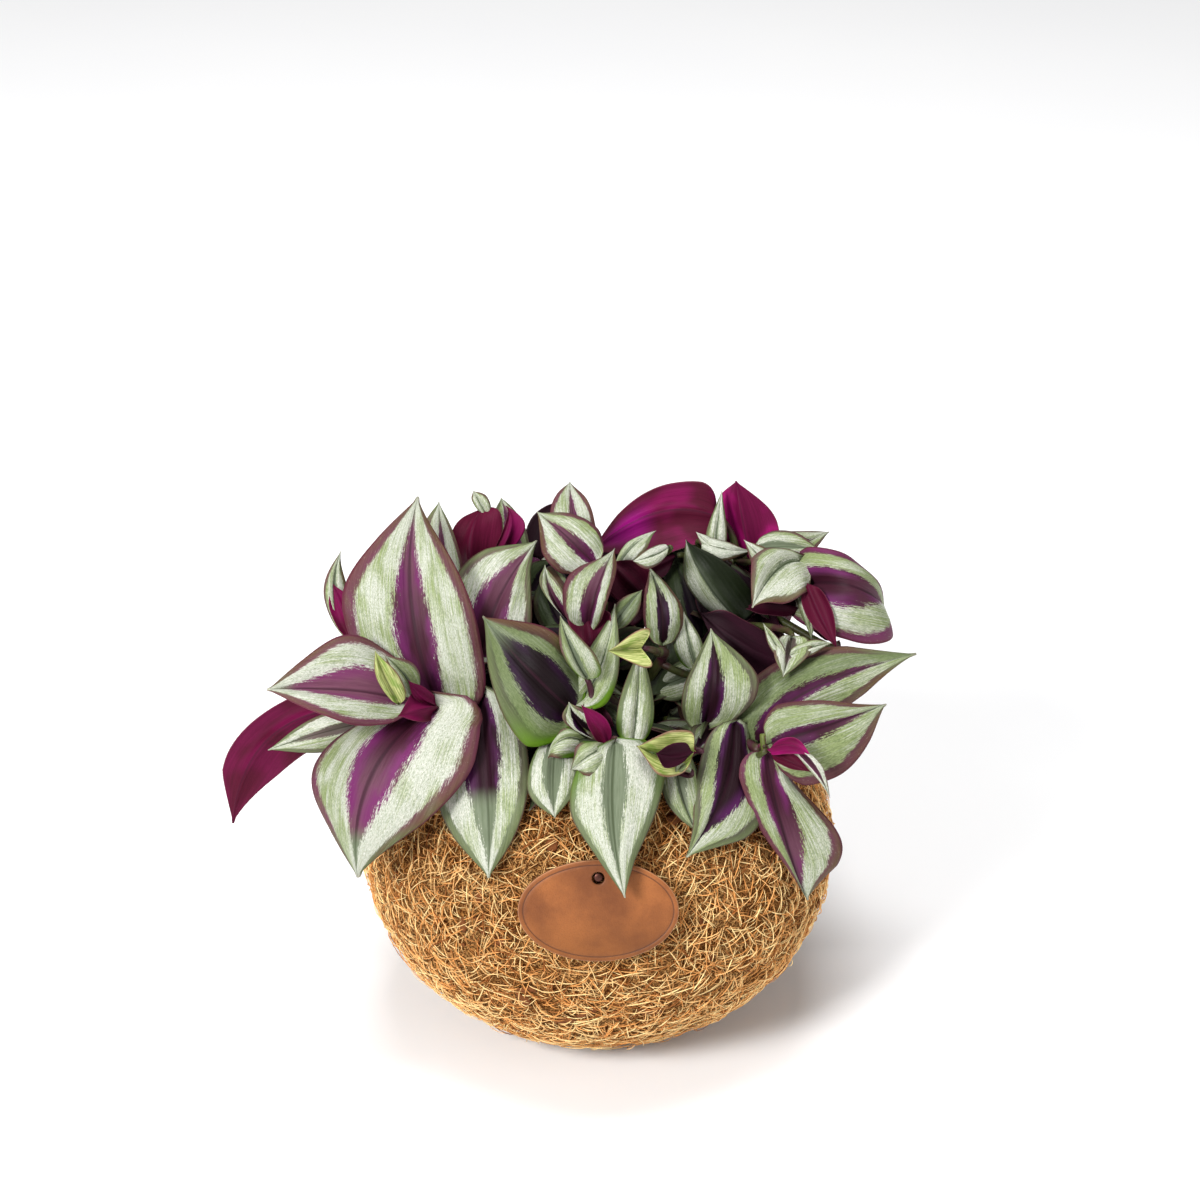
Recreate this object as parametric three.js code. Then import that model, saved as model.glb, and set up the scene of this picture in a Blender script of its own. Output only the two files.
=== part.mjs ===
// A potted violet hill inch plant: striped leaves on creeping stems, in a nursery pot inside a round coir pot
// with an oval leather tag. Millimetres, +Z up, the front towards -Y, origin at the middle of the flat base.
import * as THREE from "three";
import { mergeVertices } from "three/addons/utils/BufferGeometryUtils.js";

// Coir pot: a squat ball with a flat base and a round mouth.
const POT_RADIUS = 75;
const POT_HALF_HEIGHT = 63;
const BALL_CENTRE_HEIGHT = 56.6;
const LIP_HEIGHT = 104;
const LIP_ROUNDING = 4.2;
const MOUTH_RADIUS = 42.4;
const CAVITY_FLOOR_RADIUS = 31.4;
const CAVITY_FLOOR_HEIGHT = 14;

// Nursery pot that stands in the coir pot, and the soil in it.
const FIT_GAP = 0.4;
const GROW_POT_WALL = 1.2;
const GROW_POT_TOP = 101.5;
const GROW_POT_RIM_DROP = 5;
const SOIL_TOP = 91;
const SOIL_CROWN = 2.5;

// Oval tag on the front, and the pin that holds it.
const TAG_WIDTH = 48.5;
const TAG_HEIGHT = 31.6;
const TAG_THICKNESS = 1.5;
const TAG_HOLE_RADIUS = 1.9;
const TAG_HOLE_DROP = 5.6;
const TAG_LEAN = THREE.MathUtils.degToRad(17.7);
const TAG_CENTRE_HEIGHT = 76;
const TAG_STAND_OFF = 2.2;
const PIN_RADIUS = 0.75;
const PIN_HEAD_RADIUS = 1.4;

// Leaves and stems.
const LEAF_THICKNESS = 0.6;
const LEAF_SEGMENTS_ACROSS = 4;
const LEAF_SEGMENTS_ALONG = 7;
const LEAF_WIDEST = 0.38;
const LEAF_TAPER = 1.15;
const LEAF_LEAST_WIDTH = 0.035;
const LEAF_CROWN = 0.9;
const LEAF_FOLD = 0.1;
const MARGIN_LOW = 0.3;
const MARGIN_HIGH = 0.65;
const STEM_RADIUS = 1.7;
const STEM_SIDES = 7;
const STEM_STEP = 5;

// The view that the leaf places are read in: a photo pixel and a depth towards the viewer, in millimetres.
const VIEW_DISTANCE = 1100;
const VIEW_RISE = THREE.MathUtils.degToRad(32);
const AXIS_RISE = THREE.MathUtils.degToRad(28.05);
const VIEW_SIDE = 0.52;
const FOCAL_PIXELS = 3402;
const IMAGE_MIDDLE = 600;

const COLOURS = {
  coir: 0xb5803f,
  growPot: 0x17181a,
  soil: 0x2b1c12,
  tag: 0xb4754a,
  pin: 0x4a4038,
  stem: 0x7d6a4f,
  leaf: 0x9fb48d,
};

const group = new THREE.Group();

function addPiece(name, geometry, colour, roughness, metalness = 0) {
  const material = new THREE.MeshStandardMaterial({ color: colour, roughness, metalness });
  const mesh = new THREE.Mesh(geometry, material);
  mesh.name = name;
  group.add(mesh);
  return mesh;
}

// A photo pixel and a depth give a point in the part's frame.
function place([pixelX, pixelY, depth]) {
  const ballCentre = new THREE.Vector3(0, 0, BALL_CENTRE_HEIGHT);
  const eye = new THREE.Vector3(
    VIEW_SIDE,
    -VIEW_DISTANCE * Math.cos(VIEW_RISE),
    BALL_CENTRE_HEIGHT + VIEW_DISTANCE * Math.sin(VIEW_RISE),
  );
  const forward = new THREE.Vector3(0, Math.cos(AXIS_RISE), -Math.sin(AXIS_RISE));
  const up = new THREE.Vector3(0, Math.sin(AXIS_RISE), Math.cos(AXIS_RISE));
  const reach = ballCentre.sub(eye).dot(forward) - depth;
  const ray = forward
    .add(new THREE.Vector3((pixelX - IMAGE_MIDDLE) / FOCAL_PIXELS, 0, 0))
    .addScaledVector(up, (IMAGE_MIDDLE - pixelY) / FOCAL_PIXELS);
  return eye.addScaledVector(ray, reach);
}

// Coir pot: outer ball, rounded lip, and a tapered cavity that fits the nursery pot.
function ballRadius(height) {
  return POT_RADIUS * Math.sqrt(1 - ((height - BALL_CENTRE_HEIGHT) / POT_HALF_HEIGHT) ** 2);
}

// A profile of radius and height, turned about the upright axis.
function turned(profile, segments) {
  const points = profile.map(([radius, height]) => new THREE.Vector2(radius, height));
  return new THREE.LatheGeometry(points, segments).rotateX(Math.PI / 2);
}

function makeCoirPot() {
  const profile = [[0, 0]];
  const wallSteps = 13;
  const shoulderHeight = LIP_HEIGHT - LIP_ROUNDING;
  for (let i = 0; i <= wallSteps; i += 1) {
    const height = shoulderHeight * (0.5 - 0.5 * Math.cos((Math.PI * i) / wallSteps));
    profile.push([ballRadius(height), height]);
  }
  const lipMiddle = (ballRadius(shoulderHeight) + MOUTH_RADIUS) / 2;
  const lipHalfWidth = (ballRadius(shoulderHeight) - MOUTH_RADIUS) / 2;
  const lipSteps = 4;
  for (let i = 1; i <= lipSteps; i += 1) {
    const angle = (Math.PI * i) / lipSteps;
    const height = shoulderHeight + LIP_ROUNDING * Math.sin(angle);
    profile.push([lipMiddle + lipHalfWidth * Math.cos(angle), height]);
  }
  profile.push([CAVITY_FLOOR_RADIUS, CAVITY_FLOOR_HEIGHT]);
  profile.push([0, CAVITY_FLOOR_HEIGHT]);
  return turned(profile, 40);
}

// The cavity's wall radius at a height, which the nursery pot follows.
function cavityRadius(height) {
  const share = (height - CAVITY_FLOOR_HEIGHT) / (LIP_HEIGHT - LIP_ROUNDING - CAVITY_FLOOR_HEIGHT);
  return CAVITY_FLOOR_RADIUS + (MOUTH_RADIUS - CAVITY_FLOOR_RADIUS) * share;
}

function makeGrowPot() {
  const floor = CAVITY_FLOOR_HEIGHT + FIT_GAP;
  const outer = (height) => cavityRadius(height) - FIT_GAP;
  const inner = (height) => outer(height) - GROW_POT_WALL;
  const shoulder = GROW_POT_TOP - GROW_POT_RIM_DROP;
  const profile = [
    [0, floor],
    [outer(floor) - 2, floor],
    [outer(floor), floor + 2],
    [outer(shoulder), shoulder],
    [outer(GROW_POT_TOP) - 0.3, GROW_POT_TOP - 0.5],
    [outer(GROW_POT_TOP) - 0.8, GROW_POT_TOP],
    [inner(GROW_POT_TOP), GROW_POT_TOP],
    [inner(shoulder), shoulder],
    [inner(floor) - 1, floor + GROW_POT_WALL],
    [0, floor + GROW_POT_WALL],
  ];
  return turned(profile, 40);
}

function makeSoil() {
  const floor = CAVITY_FLOOR_HEIGHT + FIT_GAP + GROW_POT_WALL + FIT_GAP;
  const edge = (height) => cavityRadius(height) - 2 * FIT_GAP - GROW_POT_WALL - 0.4;
  const profile = [
    [0, floor],
    [edge(floor) - 1.5, floor],
    [edge(SOIL_TOP - SOIL_CROWN), SOIL_TOP - SOIL_CROWN],
    [edge(SOIL_TOP) * 0.6, SOIL_TOP - SOIL_CROWN * 0.3],
    [0, SOIL_TOP],
  ];
  return turned(profile, 32);
}

// The tag stands in its own frame: X across, Y up its face, Z out of its face.
function makeTag() {
  const outline = new THREE.Shape();
  outline.absellipse(0, 0, TAG_WIDTH / 2, TAG_HEIGHT / 2, 0, 2 * Math.PI);
  const hole = new THREE.Path();
  hole.absarc(0, TAG_HEIGHT / 2 - TAG_HOLE_DROP, TAG_HOLE_RADIUS, 0, 2 * Math.PI, true);
  outline.holes.push(hole);
  return new THREE.ExtrudeGeometry(outline, { depth: TAG_THICKNESS, bevelEnabled: false, curveSegments: 16 });
}

function tagFrame() {
  const reach = ballRadius(TAG_CENTRE_HEIGHT) + TAG_STAND_OFF;
  const frame = new THREE.Group();
  frame.position.set(0, -reach, TAG_CENTRE_HEIGHT);
  frame.rotation.x = Math.PI / 2 - TAG_LEAN;
  return frame;
}

// The pin is a short wire with a flat head, pushed through the tag's hole.
function makePin() {
  const headBottom = 0.3;
  const headTop = 0.8;
  const point = -1.4;
  const profile = [
    [0, point],
    [PIN_RADIUS, point + 0.4],
    [PIN_RADIUS, headBottom],
    [PIN_HEAD_RADIUS, headBottom],
    [PIN_HEAD_RADIUS, headTop],
    [0, headTop],
  ];
  return turned(profile, 12);
}

// A leaf's relative half width along its length: round at the base, drawn out to a point.
function leafProfile(along) {
  if (along < LEAF_WIDEST) {
    return Math.sqrt(1 - ((LEAF_WIDEST - along) / LEAF_WIDEST) ** 2);
  }
  const share = (along - LEAF_WIDEST) / (1 - LEAF_WIDEST);
  return Math.cos((Math.PI / 2) * share) ** LEAF_TAPER;
}

// The midrib is a smooth arc through base, mid and tip.
function midrib(leaf, along) {
  const rest = 1 - along;
  return new THREE.Vector3()
    .addScaledVector(leaf.base, rest * (1 - 2 * along))
    .addScaledVector(leaf.mid, 4 * along * rest)
    .addScaledVector(leaf.tip, along * (2 * along - 1));
}

// The full half-width vector of one side, from the one or two margin points that are given.
function sideReach(leaf, points, along) {
  const reachAt = (point, place) => point.clone().sub(midrib(leaf, place)).divideScalar(leafProfile(place));
  const low = reachAt(points[0], points.length > 1 ? MARGIN_LOW : LEAF_WIDEST);
  if (points.length === 1) {
    return low;
  }
  const share = THREE.MathUtils.clamp((along - MARGIN_LOW) / (MARGIN_HIGH - MARGIN_LOW), -0.3, 1.3);
  return low.lerp(reachAt(points[1], MARGIN_HIGH), share);
}

// A point of the leaf: across runs from -1 to 1, along from 0 to 1, and level is -0.5 or 0.5 through it.
function leafPoint(leaf, across, along, level) {
  const width = Math.max(leafProfile(along), LEAF_LEAST_WIDTH);
  const left = sideReach(leaf, leaf.left, along);
  const right = sideReach(leaf, leaf.right, along);
  const step = 0.02;
  const ahead = midrib(leaf, Math.min(along + step, 1));
  const behind = midrib(leaf, Math.max(along - step, 0));
  const normal = right.clone().sub(left).cross(ahead.sub(behind)).normalize();
  const side = across < 0 ? left : right;
  const crown = LEAF_CROWN * Math.sin(Math.PI * Math.abs(across)) * width;
  return midrib(leaf, along)
    .addScaledVector(side, width * Math.abs(across))
    .addScaledVector(normal, crown + level * LEAF_THICKNESS);
}

function makeLeaf(leaf) {
  const block = new THREE.BoxGeometry(2, 1, 1, LEAF_SEGMENTS_ACROSS, LEAF_SEGMENTS_ALONG, 1);
  block.deleteAttribute("normal");
  block.deleteAttribute("uv");
  const geometry = mergeVertices(block);
  const corners = geometry.attributes.position;
  for (let i = 0; i < corners.count; i += 1) {
    const point = leafPoint(leaf, corners.getX(i), corners.getY(i) + 0.5, corners.getZ(i));
    corners.setXYZ(i, point.x, point.y, point.z);
  }
  return geometry;
}

// Leaves that the photo shows. base, mid and tip lie on the midrib; left and right are points of the two
// margins, one at the widest place or two at 0.3 and 0.65 of the length. Each is [pixel x, pixel y, depth].
// side says which face is turned to the viewer.
const SEEN_LEAVES = [
  { name: "leaf_a1", side: "upper", base: [438, 706, 52], mid: [411, 600, 54], tip: [418, 497, 38],
    left: [[346, 625, 54], [357, 562, 52]], right: [[483, 655, 57], [458, 572, 52]] },
  { name: "leaf_a2", side: "upper", base: [410, 702, 60], mid: [340, 690, 70], tip: [267, 690, 76],
    left: [[362, 638, 62], [318, 647, 70]], right: [[366, 725, 76], [322, 716, 82]] },
  { name: "leaf_a3", side: "upper", base: [432, 710, 58], mid: [368, 782, 66], tip: [358, 877, 54],
    left: [[326, 748, 56], [317, 805, 56]], right: [[478, 742, 66], [445, 804, 68]] },
  { name: "leaf_a4", side: "under", base: [380, 706, 48], mid: [275, 733, 38], tip: [233, 823, 24],
    left: [[303, 692, 42], [229, 750, 30]], right: [[318, 748, 40], [290, 765, 34]] },
  { name: "leaf_a6", side: "upper", base: [456, 640, 30], mid: [444, 562, 30], tip: [439, 502, 20],
    left: [[420, 560, 30]], right: [[464, 572, 29]] },
  { name: "leaf_d1", side: "upper", base: [478, 690, 52], mid: [487, 790, 66], tip: [489, 878, 70],
    left: [[436, 758, 59], [445, 824, 60]], right: [[528, 755, 64], [521, 822, 70]] },
  { name: "leaf_d2", side: "upper", base: [557, 735, 64], mid: [553, 780, 70], tip: [555, 818, 73],
    left: [[527, 782, 70]], right: [[578, 778, 71]] },
  { name: "leaf_b1", side: "upper", base: [571, 710, 64], mid: [527, 668, 71], tip: [483, 617, 58],
    left: [[515, 733, 72], [489, 672, 68]], right: [[566, 645, 62], [530, 622, 62]] },
  { name: "leaf_b2", side: "upper", base: [615, 742, 72], mid: [613, 820, 80], tip: [625, 898, 84],
    left: [[570, 795, 77], [583, 838, 80]], right: [[664, 783, 73], [643, 843, 80]] },
  { name: "leaf_b3", side: "upper", base: [583, 682, 66], mid: [571, 650, 68], tip: [560, 616, 64],
    left: [[563, 655, 71]], right: [[598, 662, 69]] },
  { name: "leaf_b5", side: "upper", base: [697, 752, 66], mid: [667, 756, 71], tip: [637, 746, 79],
    left: [[676, 731, 74]], right: [[668, 776, 78]] },
  { name: "leaf_v1", side: "upper", base: [633, 742, 66], mid: [637, 700, 64], tip: [640, 645, 60],
    left: [[617, 712, 66]], right: [[654, 712, 62]] },
  { name: "leaf_u1", side: "upper", base: [590, 625, 54], mid: [597, 590, 59], tip: [615, 549, 46],
    left: [[562, 600, 56], [574, 572, 52]], right: [[606, 607, 60], [616, 570, 55]] },
  { name: "leaf_u3", side: "upper", base: [652, 650, 62], mid: [632, 649, 64], tip: [608, 651, 70],
    left: [[638, 628, 68]], right: [[640, 667, 68]] },
  { name: "leaf_w1", side: "upper", base: [737, 618, 28], mid: [706, 582, 35], tip: [686, 540, 24],
    left: [[692, 594, 32]], right: [[742, 578, 28]] },
  { name: "leaf_w2", side: "upper", base: [662, 642, 46], mid: [661, 605, 51], tip: [649, 567, 39],
    left: [[643, 612, 50]], right: [[683, 612, 48]] },
  { name: "leaf_w3", side: "upper", base: [697, 668, 42], mid: [689, 640, 44], tip: [684, 612, 42],
    left: [[674, 648, 44]], right: [[703, 645, 44]] },
  { name: "leaf_m1", side: "under", base: [480, 612, 20], mid: [468, 552, 25], tip: [487, 504, 24],
    left: [[449, 556, 22]], right: [[500, 545, 20]] },
  { name: "leaf_m2", side: "upper", base: [520, 590, 22], mid: [511, 535, 16], tip: [501, 498, 8],
    left: [[494, 536, 16]], right: [[528, 538, 14]] },
  { name: "leaf_l1", side: "upper", base: [480, 655, 42], mid: [500, 597, 45], tip: [537, 541, 30],
    left: [[447, 610, 40], [470, 558, 36]], right: [[530, 635, 46], [531, 585, 42]] },
  { name: "leaf_t1", side: "upper", base: [594, 564, 34], mid: [570, 540, 34], tip: [537, 512, 24],
    left: [[549, 564, 38]], right: [[591, 522, 30]] },
  { name: "leaf_t2", side: "upper", base: [586, 572, 26], mid: [574, 520, 21], tip: [570, 482, 10],
    left: [[551, 522, 21]], right: [[594, 518, 21]] },
  { name: "leaf_m3", side: "under", base: [716, 517, 6], mid: [655, 514, 8], tip: [590, 553, 12],
    left: [[676, 485, 4], [630, 503, 6]], right: [[684, 548, 12], [640, 557, 12]] },
  { name: "leaf_m4", side: "under", base: [756, 590, 2], mid: [744, 528, 8], tip: [735, 482, 8],
    left: [[721, 535, 3], [722, 506, 5]], right: [[778, 540, 5], [772, 512, 6]] },
  { name: "leaf_r1", side: "upper", base: [795, 585, 12], mid: [845, 592, 27], tip: [895, 628, 20],
    left: [[820, 548, 20], [866, 565, 24]], right: [[832, 632, 30], [860, 645, 30]] },
  { name: "leaf_r3", side: "upper", base: [800, 562, 18], mid: [776, 571, 26], tip: [752, 608, 36],
    left: [[752, 543, 26]], right: [[803, 598, 32]] },
  { name: "leaf_r4", side: "upper", base: [762, 558, 15], mid: [794, 547, 12], tip: [829, 532, 3],
    left: [[784, 533, 8]], right: [[800, 560, 15]] },
  { name: "leaf_r5", side: "upper", base: [797, 640, 42], mid: [791, 657, 48], tip: [783, 677, 54],
    left: [[765, 637, 50]], right: [[823, 646, 50]] },
  { name: "leaf_c1", side: "upper", base: [760, 742, 48], mid: [805, 693, 52], tip: [916, 654, 40],
    left: [[740, 690, 46], [820, 648, 43]], right: [[804, 722, 50], [850, 704, 48]] },
  { name: "leaf_c2", side: "upper", base: [772, 743, 58], mid: [822, 727, 62], tip: [886, 704, 58],
    left: [[790, 702, 58], [842, 702, 60]], right: [[820, 783, 60], [862, 754, 60]] },
  { name: "leaf_c3", side: "upper", base: [766, 750, 60], mid: [782, 830, 56], tip: [807, 900, 46],
    left: [[744, 795, 58], [777, 853, 54]], right: [[808, 797, 54], [842, 852, 48]] },
  { name: "leaf_c4", side: "upper", base: [722, 722, 54], mid: [715, 790, 66], tip: [686, 857, 73],
    left: [[700, 762, 62], [692, 810, 69]], right: [[743, 767, 60], [750, 822, 65]] },
  { name: "leaf_c5", side: "upper", base: [705, 722, 46], mid: [714, 678, 54], tip: [711, 629, 45],
    left: [[682, 700, 52], [692, 666, 51]], right: [[758, 690, 58], [746, 660, 55]] },
  { name: "leaf_c6", side: "upper", base: [674, 745, 60], mid: [681, 792, 67], tip: [697, 832, 69],
    left: [[663, 792, 68]], right: [[702, 790, 63]] },
];

// Leaves of the far side, which the photo doesn't show. base, length and width are in millimetres. heading
// is the way the leaf points, in degrees from +X towards +Y. rise is its slope at the base, droop how far it
// bends down, and roll how far it turns about its midrib.
const FAR_LEAVES = [
  { name: "leaf_h1", base: [-38, 30, 113], heading: 168, rise: 8, droop: 58,
    length: 56, width: 30, roll: 8 },
  { name: "leaf_h2", base: [-36, 38, 116], heading: 136, rise: 14, droop: 70,
    length: 60, width: 32, roll: -6 },
  { name: "leaf_h3", base: [-20, 46, 114], heading: 112, rise: 4, droop: 66,
    length: 58, width: 31, roll: 6 },
  { name: "leaf_h4", base: [-3, 50, 118], heading: 92, rise: 10, droop: 72,
    length: 62, width: 33, roll: -4 },
  { name: "leaf_h5", base: [13, 50, 113], heading: 72, rise: 2, droop: 62,
    length: 56, width: 30, roll: 5 },
  { name: "leaf_h6", base: [32, 42, 112], heading: 52, rise: 8, droop: 70,
    length: 60, width: 32, roll: 8 },
  { name: "leaf_h7", base: [43, 27, 109], heading: 18, rise: -4, droop: 58,
    length: 54, width: 29, roll: -8 },
  { name: "leaf_h8", base: [-14, 34, 127], heading: 124, rise: 20, droop: 60,
    length: 46, width: 25, roll: 4 },
  { name: "leaf_h9", base: [6, 38, 128], heading: 84, rise: 14, droop: 46,
    length: 44, width: 24, roll: -10 },
  { name: "leaf_h10", base: [24, 36, 126], heading: 58, rise: 12, droop: 44,
    length: 42, width: 23, roll: 6 },
];

// Stems creep from the soil over the rim. Each is the list of points that its middle passes through, in
// millimetres.
const STEMS = [
  { name: "stem_a", points: [[-26, -8, 92], [-38, -15, 107], [-50, -23, 114], [-62, -25, 115]] },
  { name: "stem_b", points: [[4, -12, 93], [8, -26, 106], [10, -37, 111], [5, -44, 115], [-4, -42, 120]] },
  { name: "stem_c", points: [[24, -10, 92], [31, -16, 105], [41, -25, 108.5], [50, -34, 108]] },
  { name: "stem_l", points: [[-16, 4, 92], [-27, 2, 108], [-34, 0, 121], [-36, 6, 130], [-34, 13, 135]] },
  { name: "stem_t",
    points: [[-8, 6, 93], [-11, -3, 112], [-8, -10, 131], [-5, -4, 141], [-4, 8, 141], [-7, 17, 141]] },
  { name: "stem_u", points: [[9, 0, 93], [12, -8, 112], [20, -10, 128], [18, -20, 135]] },
  { name: "stem_w", points: [[18, 4, 92], [27, 2, 105], [34, -4, 114], [40, 3, 124], [47, 8, 129]] },
  { name: "stem_r", points: [[24, 12, 92], [40, 16, 107], [53, 20, 122], [61, 22, 133]] },
  { name: "stem_m", points: [[10, 18, 92], [18, 25, 110], [33, 32, 128], [44, 36, 138]] },
  { name: "stem_h", points: [[-18, 16, 92], [-28, 27, 106], [-35, 35, 111]] },
  { name: "stem_k", points: [[0, 24, 92], [2, 36, 106], [4, 46, 113]] },
];

function leafFromPhoto(entry) {
  const leaf = {
    base: place(entry.base),
    mid: place(entry.mid),
    tip: place(entry.tip),
    left: entry.left.map(place),
    right: entry.right.map(place),
  };
  const across = place(entry.right[0]).sub(place(entry.left[0]));
  const towardsViewer = new THREE.Vector3(0, -Math.cos(VIEW_RISE), Math.sin(VIEW_RISE));
  const facing = across.cross(leaf.tip.clone().sub(leaf.base)).dot(towardsViewer);
  if ((facing > 0) !== (entry.side === "upper")) {
    [leaf.left, leaf.right] = [leaf.right, leaf.left];
  }
  return leaf;
}

// A leaf from its botanical sizes: the midrib bends down along an arc, and the blade is turned about it.
function leafFromGrowth(entry) {
  const radians = THREE.MathUtils.degToRad;
  const heading = radians(entry.heading);
  const direction = (slope) => new THREE.Vector3(
    Math.cos(heading) * Math.cos(slope),
    Math.sin(heading) * Math.cos(slope),
    Math.sin(slope),
  );
  const base = new THREE.Vector3(...entry.base);
  const half = entry.length / 2;
  const mid = base.clone().addScaledVector(direction(radians(entry.rise - entry.droop * 0.25)), half);
  const tip = mid.clone().addScaledVector(direction(radians(entry.rise - entry.droop * 0.8)), half);
  const chord = tip.clone().sub(base).normalize();
  const across = new THREE.Vector3(Math.sin(heading), -Math.cos(heading), 0);
  across.applyAxisAngle(chord, radians(entry.roll));
  const upward = across.clone().cross(chord);
  const leaf = { base, mid, tip };
  const widest = midrib(leaf, LEAF_WIDEST);
  const margin = (side) => widest.clone()
    .addScaledVector(across, side * entry.width / 2)
    .addScaledVector(upward, entry.width * LEAF_FOLD);
  leaf.left = [margin(-1)];
  leaf.right = [margin(1)];
  return leaf;
}

function makeStem(entry) {
  const path = new THREE.CatmullRomCurve3(entry.points.map((point) => new THREE.Vector3(...point)));
  const section = new THREE.Shape();
  for (let i = 0; i < STEM_SIDES; i += 1) {
    const angle = (2 * Math.PI * i) / STEM_SIDES;
    const corner = [STEM_RADIUS * Math.cos(angle), STEM_RADIUS * Math.sin(angle)];
    if (i === 0) {
      section.moveTo(...corner);
    } else {
      section.lineTo(...corner);
    }
  }
  section.closePath();
  const steps = Math.round(path.getLength() / STEM_STEP);
  return new THREE.ExtrudeGeometry(section, { steps, extrudePath: path, bevelEnabled: false });
}

addPiece("coir_pot", makeCoirPot(), COLOURS.coir, 1);
addPiece("grow_pot", makeGrowPot(), COLOURS.growPot, 0.35);
addPiece("soil", makeSoil(), COLOURS.soil, 1);
const tagGroup = tagFrame();
const tag = addPiece("tag", makeTag(), COLOURS.tag, 0.6);
const pin = addPiece("tag_pin", makePin(), COLOURS.pin, 0.4, 0.8);
pin.position.y = TAG_HEIGHT / 2 - TAG_HOLE_DROP;
tagGroup.add(tag, pin);
group.add(tagGroup);

for (const entry of STEMS) {
  addPiece(entry.name, makeStem(entry), COLOURS.stem, 0.5);
}
for (const entry of SEEN_LEAVES) {
  addPiece(entry.name, makeLeaf(leafFromPhoto(entry)), COLOURS.leaf, 0.4);
}
for (const entry of FAR_LEAVES) {
  addPiece(entry.name, makeLeaf(leafFromGrowth(entry)), COLOURS.leaf, 0.4);
}

export default group;
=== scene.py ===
"""A potted violet hill inch plant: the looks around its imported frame.

Shapes are worked out in millimetres, with +Z up and the front towards -Y, and become metres in Batch.make().
"""
import math

import bpy
import numpy as np
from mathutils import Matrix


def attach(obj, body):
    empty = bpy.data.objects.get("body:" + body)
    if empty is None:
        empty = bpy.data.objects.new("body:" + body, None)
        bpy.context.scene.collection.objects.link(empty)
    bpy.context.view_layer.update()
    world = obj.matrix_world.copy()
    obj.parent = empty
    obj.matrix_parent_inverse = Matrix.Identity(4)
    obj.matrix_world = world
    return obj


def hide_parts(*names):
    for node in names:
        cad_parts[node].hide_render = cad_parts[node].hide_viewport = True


MM = 0.001
TINY = 1e-9

# The photo's view: sizes in pixels and millimetres, angles in radians.
IMAGE_SIDE = 1200
FOCAL_PIXELS = 3402
SENSOR_WIDTH = 36
VIEW_DISTANCE = 1100
VIEW_RISE = math.radians(32)
AXIS_RISE = math.radians(28.05)
VIEW_SIDE = 0.52

# The coir pot: a squat ball with a flat base and a thick lip.
POT_RADIUS = 75
POT_HALF_HEIGHT = 63
BALL_CENTRE_HEIGHT = 56.6
LIP_HEIGHT = 104
LIP_ROUNDING = 4.2
MOUTH_RADIUS = 42.4
CAVITY_FLOOR_RADIUS = 31.4
CAVITY_FLOOR_HEIGHT = 14
MAT_DEPTH = 1.1
MAT_ROUGHNESS = 0.16
OUTLINE_STEP = 1.5
LOWEST_CENTRE = 0.12

# The waves of the pressed fibre: height in millimetres, waves around the pot, turn per millimetre, and phase.
LUMP_WAVES = ((0.275, 3, 0.04, 0), (0.22, 7, -0.09, 1), (0.1925, 13, 0.17, 2), (0.165, 5, -0.31, 0))

# The fibres: name, count, where on the outline they begin and how far past its end they stop, ranges of
# length, radius and lift, and curl.
FIBRES = (
    ("coir_fibres_a", 5600, 0, 0, (3, 8), (0.09, 0.21), (-0.6, 0.3), 0.07),
    ("coir_fibres_b", 5600, 8, 0, (4, 10), (0.09, 0.21), (-0.3, 0.8), 0.07),
    ("coir_fibres_c", 4600, 30, 0, (5, 12), (0.1, 0.24), (0.0, 1.3), 0.08),
    ("coir_fibres_loose", 320, 40, -4, (6, 16), (0.08, 0.17), (0.8, 2.2), 0.22),
)
FIBRE_SIDES = 3
FIBRE_STEPS = 5
FIBRE_END_DIP = 0.7
FIBRE_LOWEST = 0.05
FIBRE_LEAST_TURN_RADIUS = 6
HUSK_CHIPS = 90
HUSK_FIRST_PLACE = 44
HUSK_END_GAP = 10
HUSK_LIFT = (-0.9, 0.1)
HUSK_SIZE = (0.8, 2.6)
HUSK_STRETCH = (1.0, 2.6)

# The nursery pot and its soil.
FIT_GAP = 0.4
GROW_POT_WALL = 1.2
GROW_POT_TOP = 101.5
SOIL_TOP = 91
SOIL_CROWN = 2.5
SOIL_ROUGHNESS = 0.55
SOIL_CRUMBS = 260
CRUMB_SIZE = (0.6, 2.2)

# The tag and its pin.
TAG_WIDTH = 48.5
TAG_HEIGHT = 31.6
TAG_THICKNESS = 1.5
TAG_HOLE_RADIUS = 1.9
TAG_HOLE_Y = TAG_HEIGHT / 2 - 5.6
TAG_LEAN = math.radians(17.7)
TAG_CENTRE_HEIGHT = 76
TAG_STAND_OFF = 2.2
TAG_WARP = 0.25

# The leaves. A grid is the number of points across and along a blade.
LEAF_THICKNESS = 0.5
LEAF_WIDEST = 0.38
LEAF_TAPER = 1.15
LEAF_LEAST_WIDTH = 0.02
LEAF_CROWN = 0.9
LEAF_FOLD = 0.1
LEAF_CLASP = 0.3
LEAF_GROOVE = 0.5
LEAF_RIB = 0.5
LEAF_FULL_HALF_WIDTH = 14
MARGIN_LOW = 0.3
MARGIN_HIGH = 0.65
FINE_GRID = (25, 37)
SMALL_GRID = (17, 25)
DEEP_GRID = (13, 19)

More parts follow.
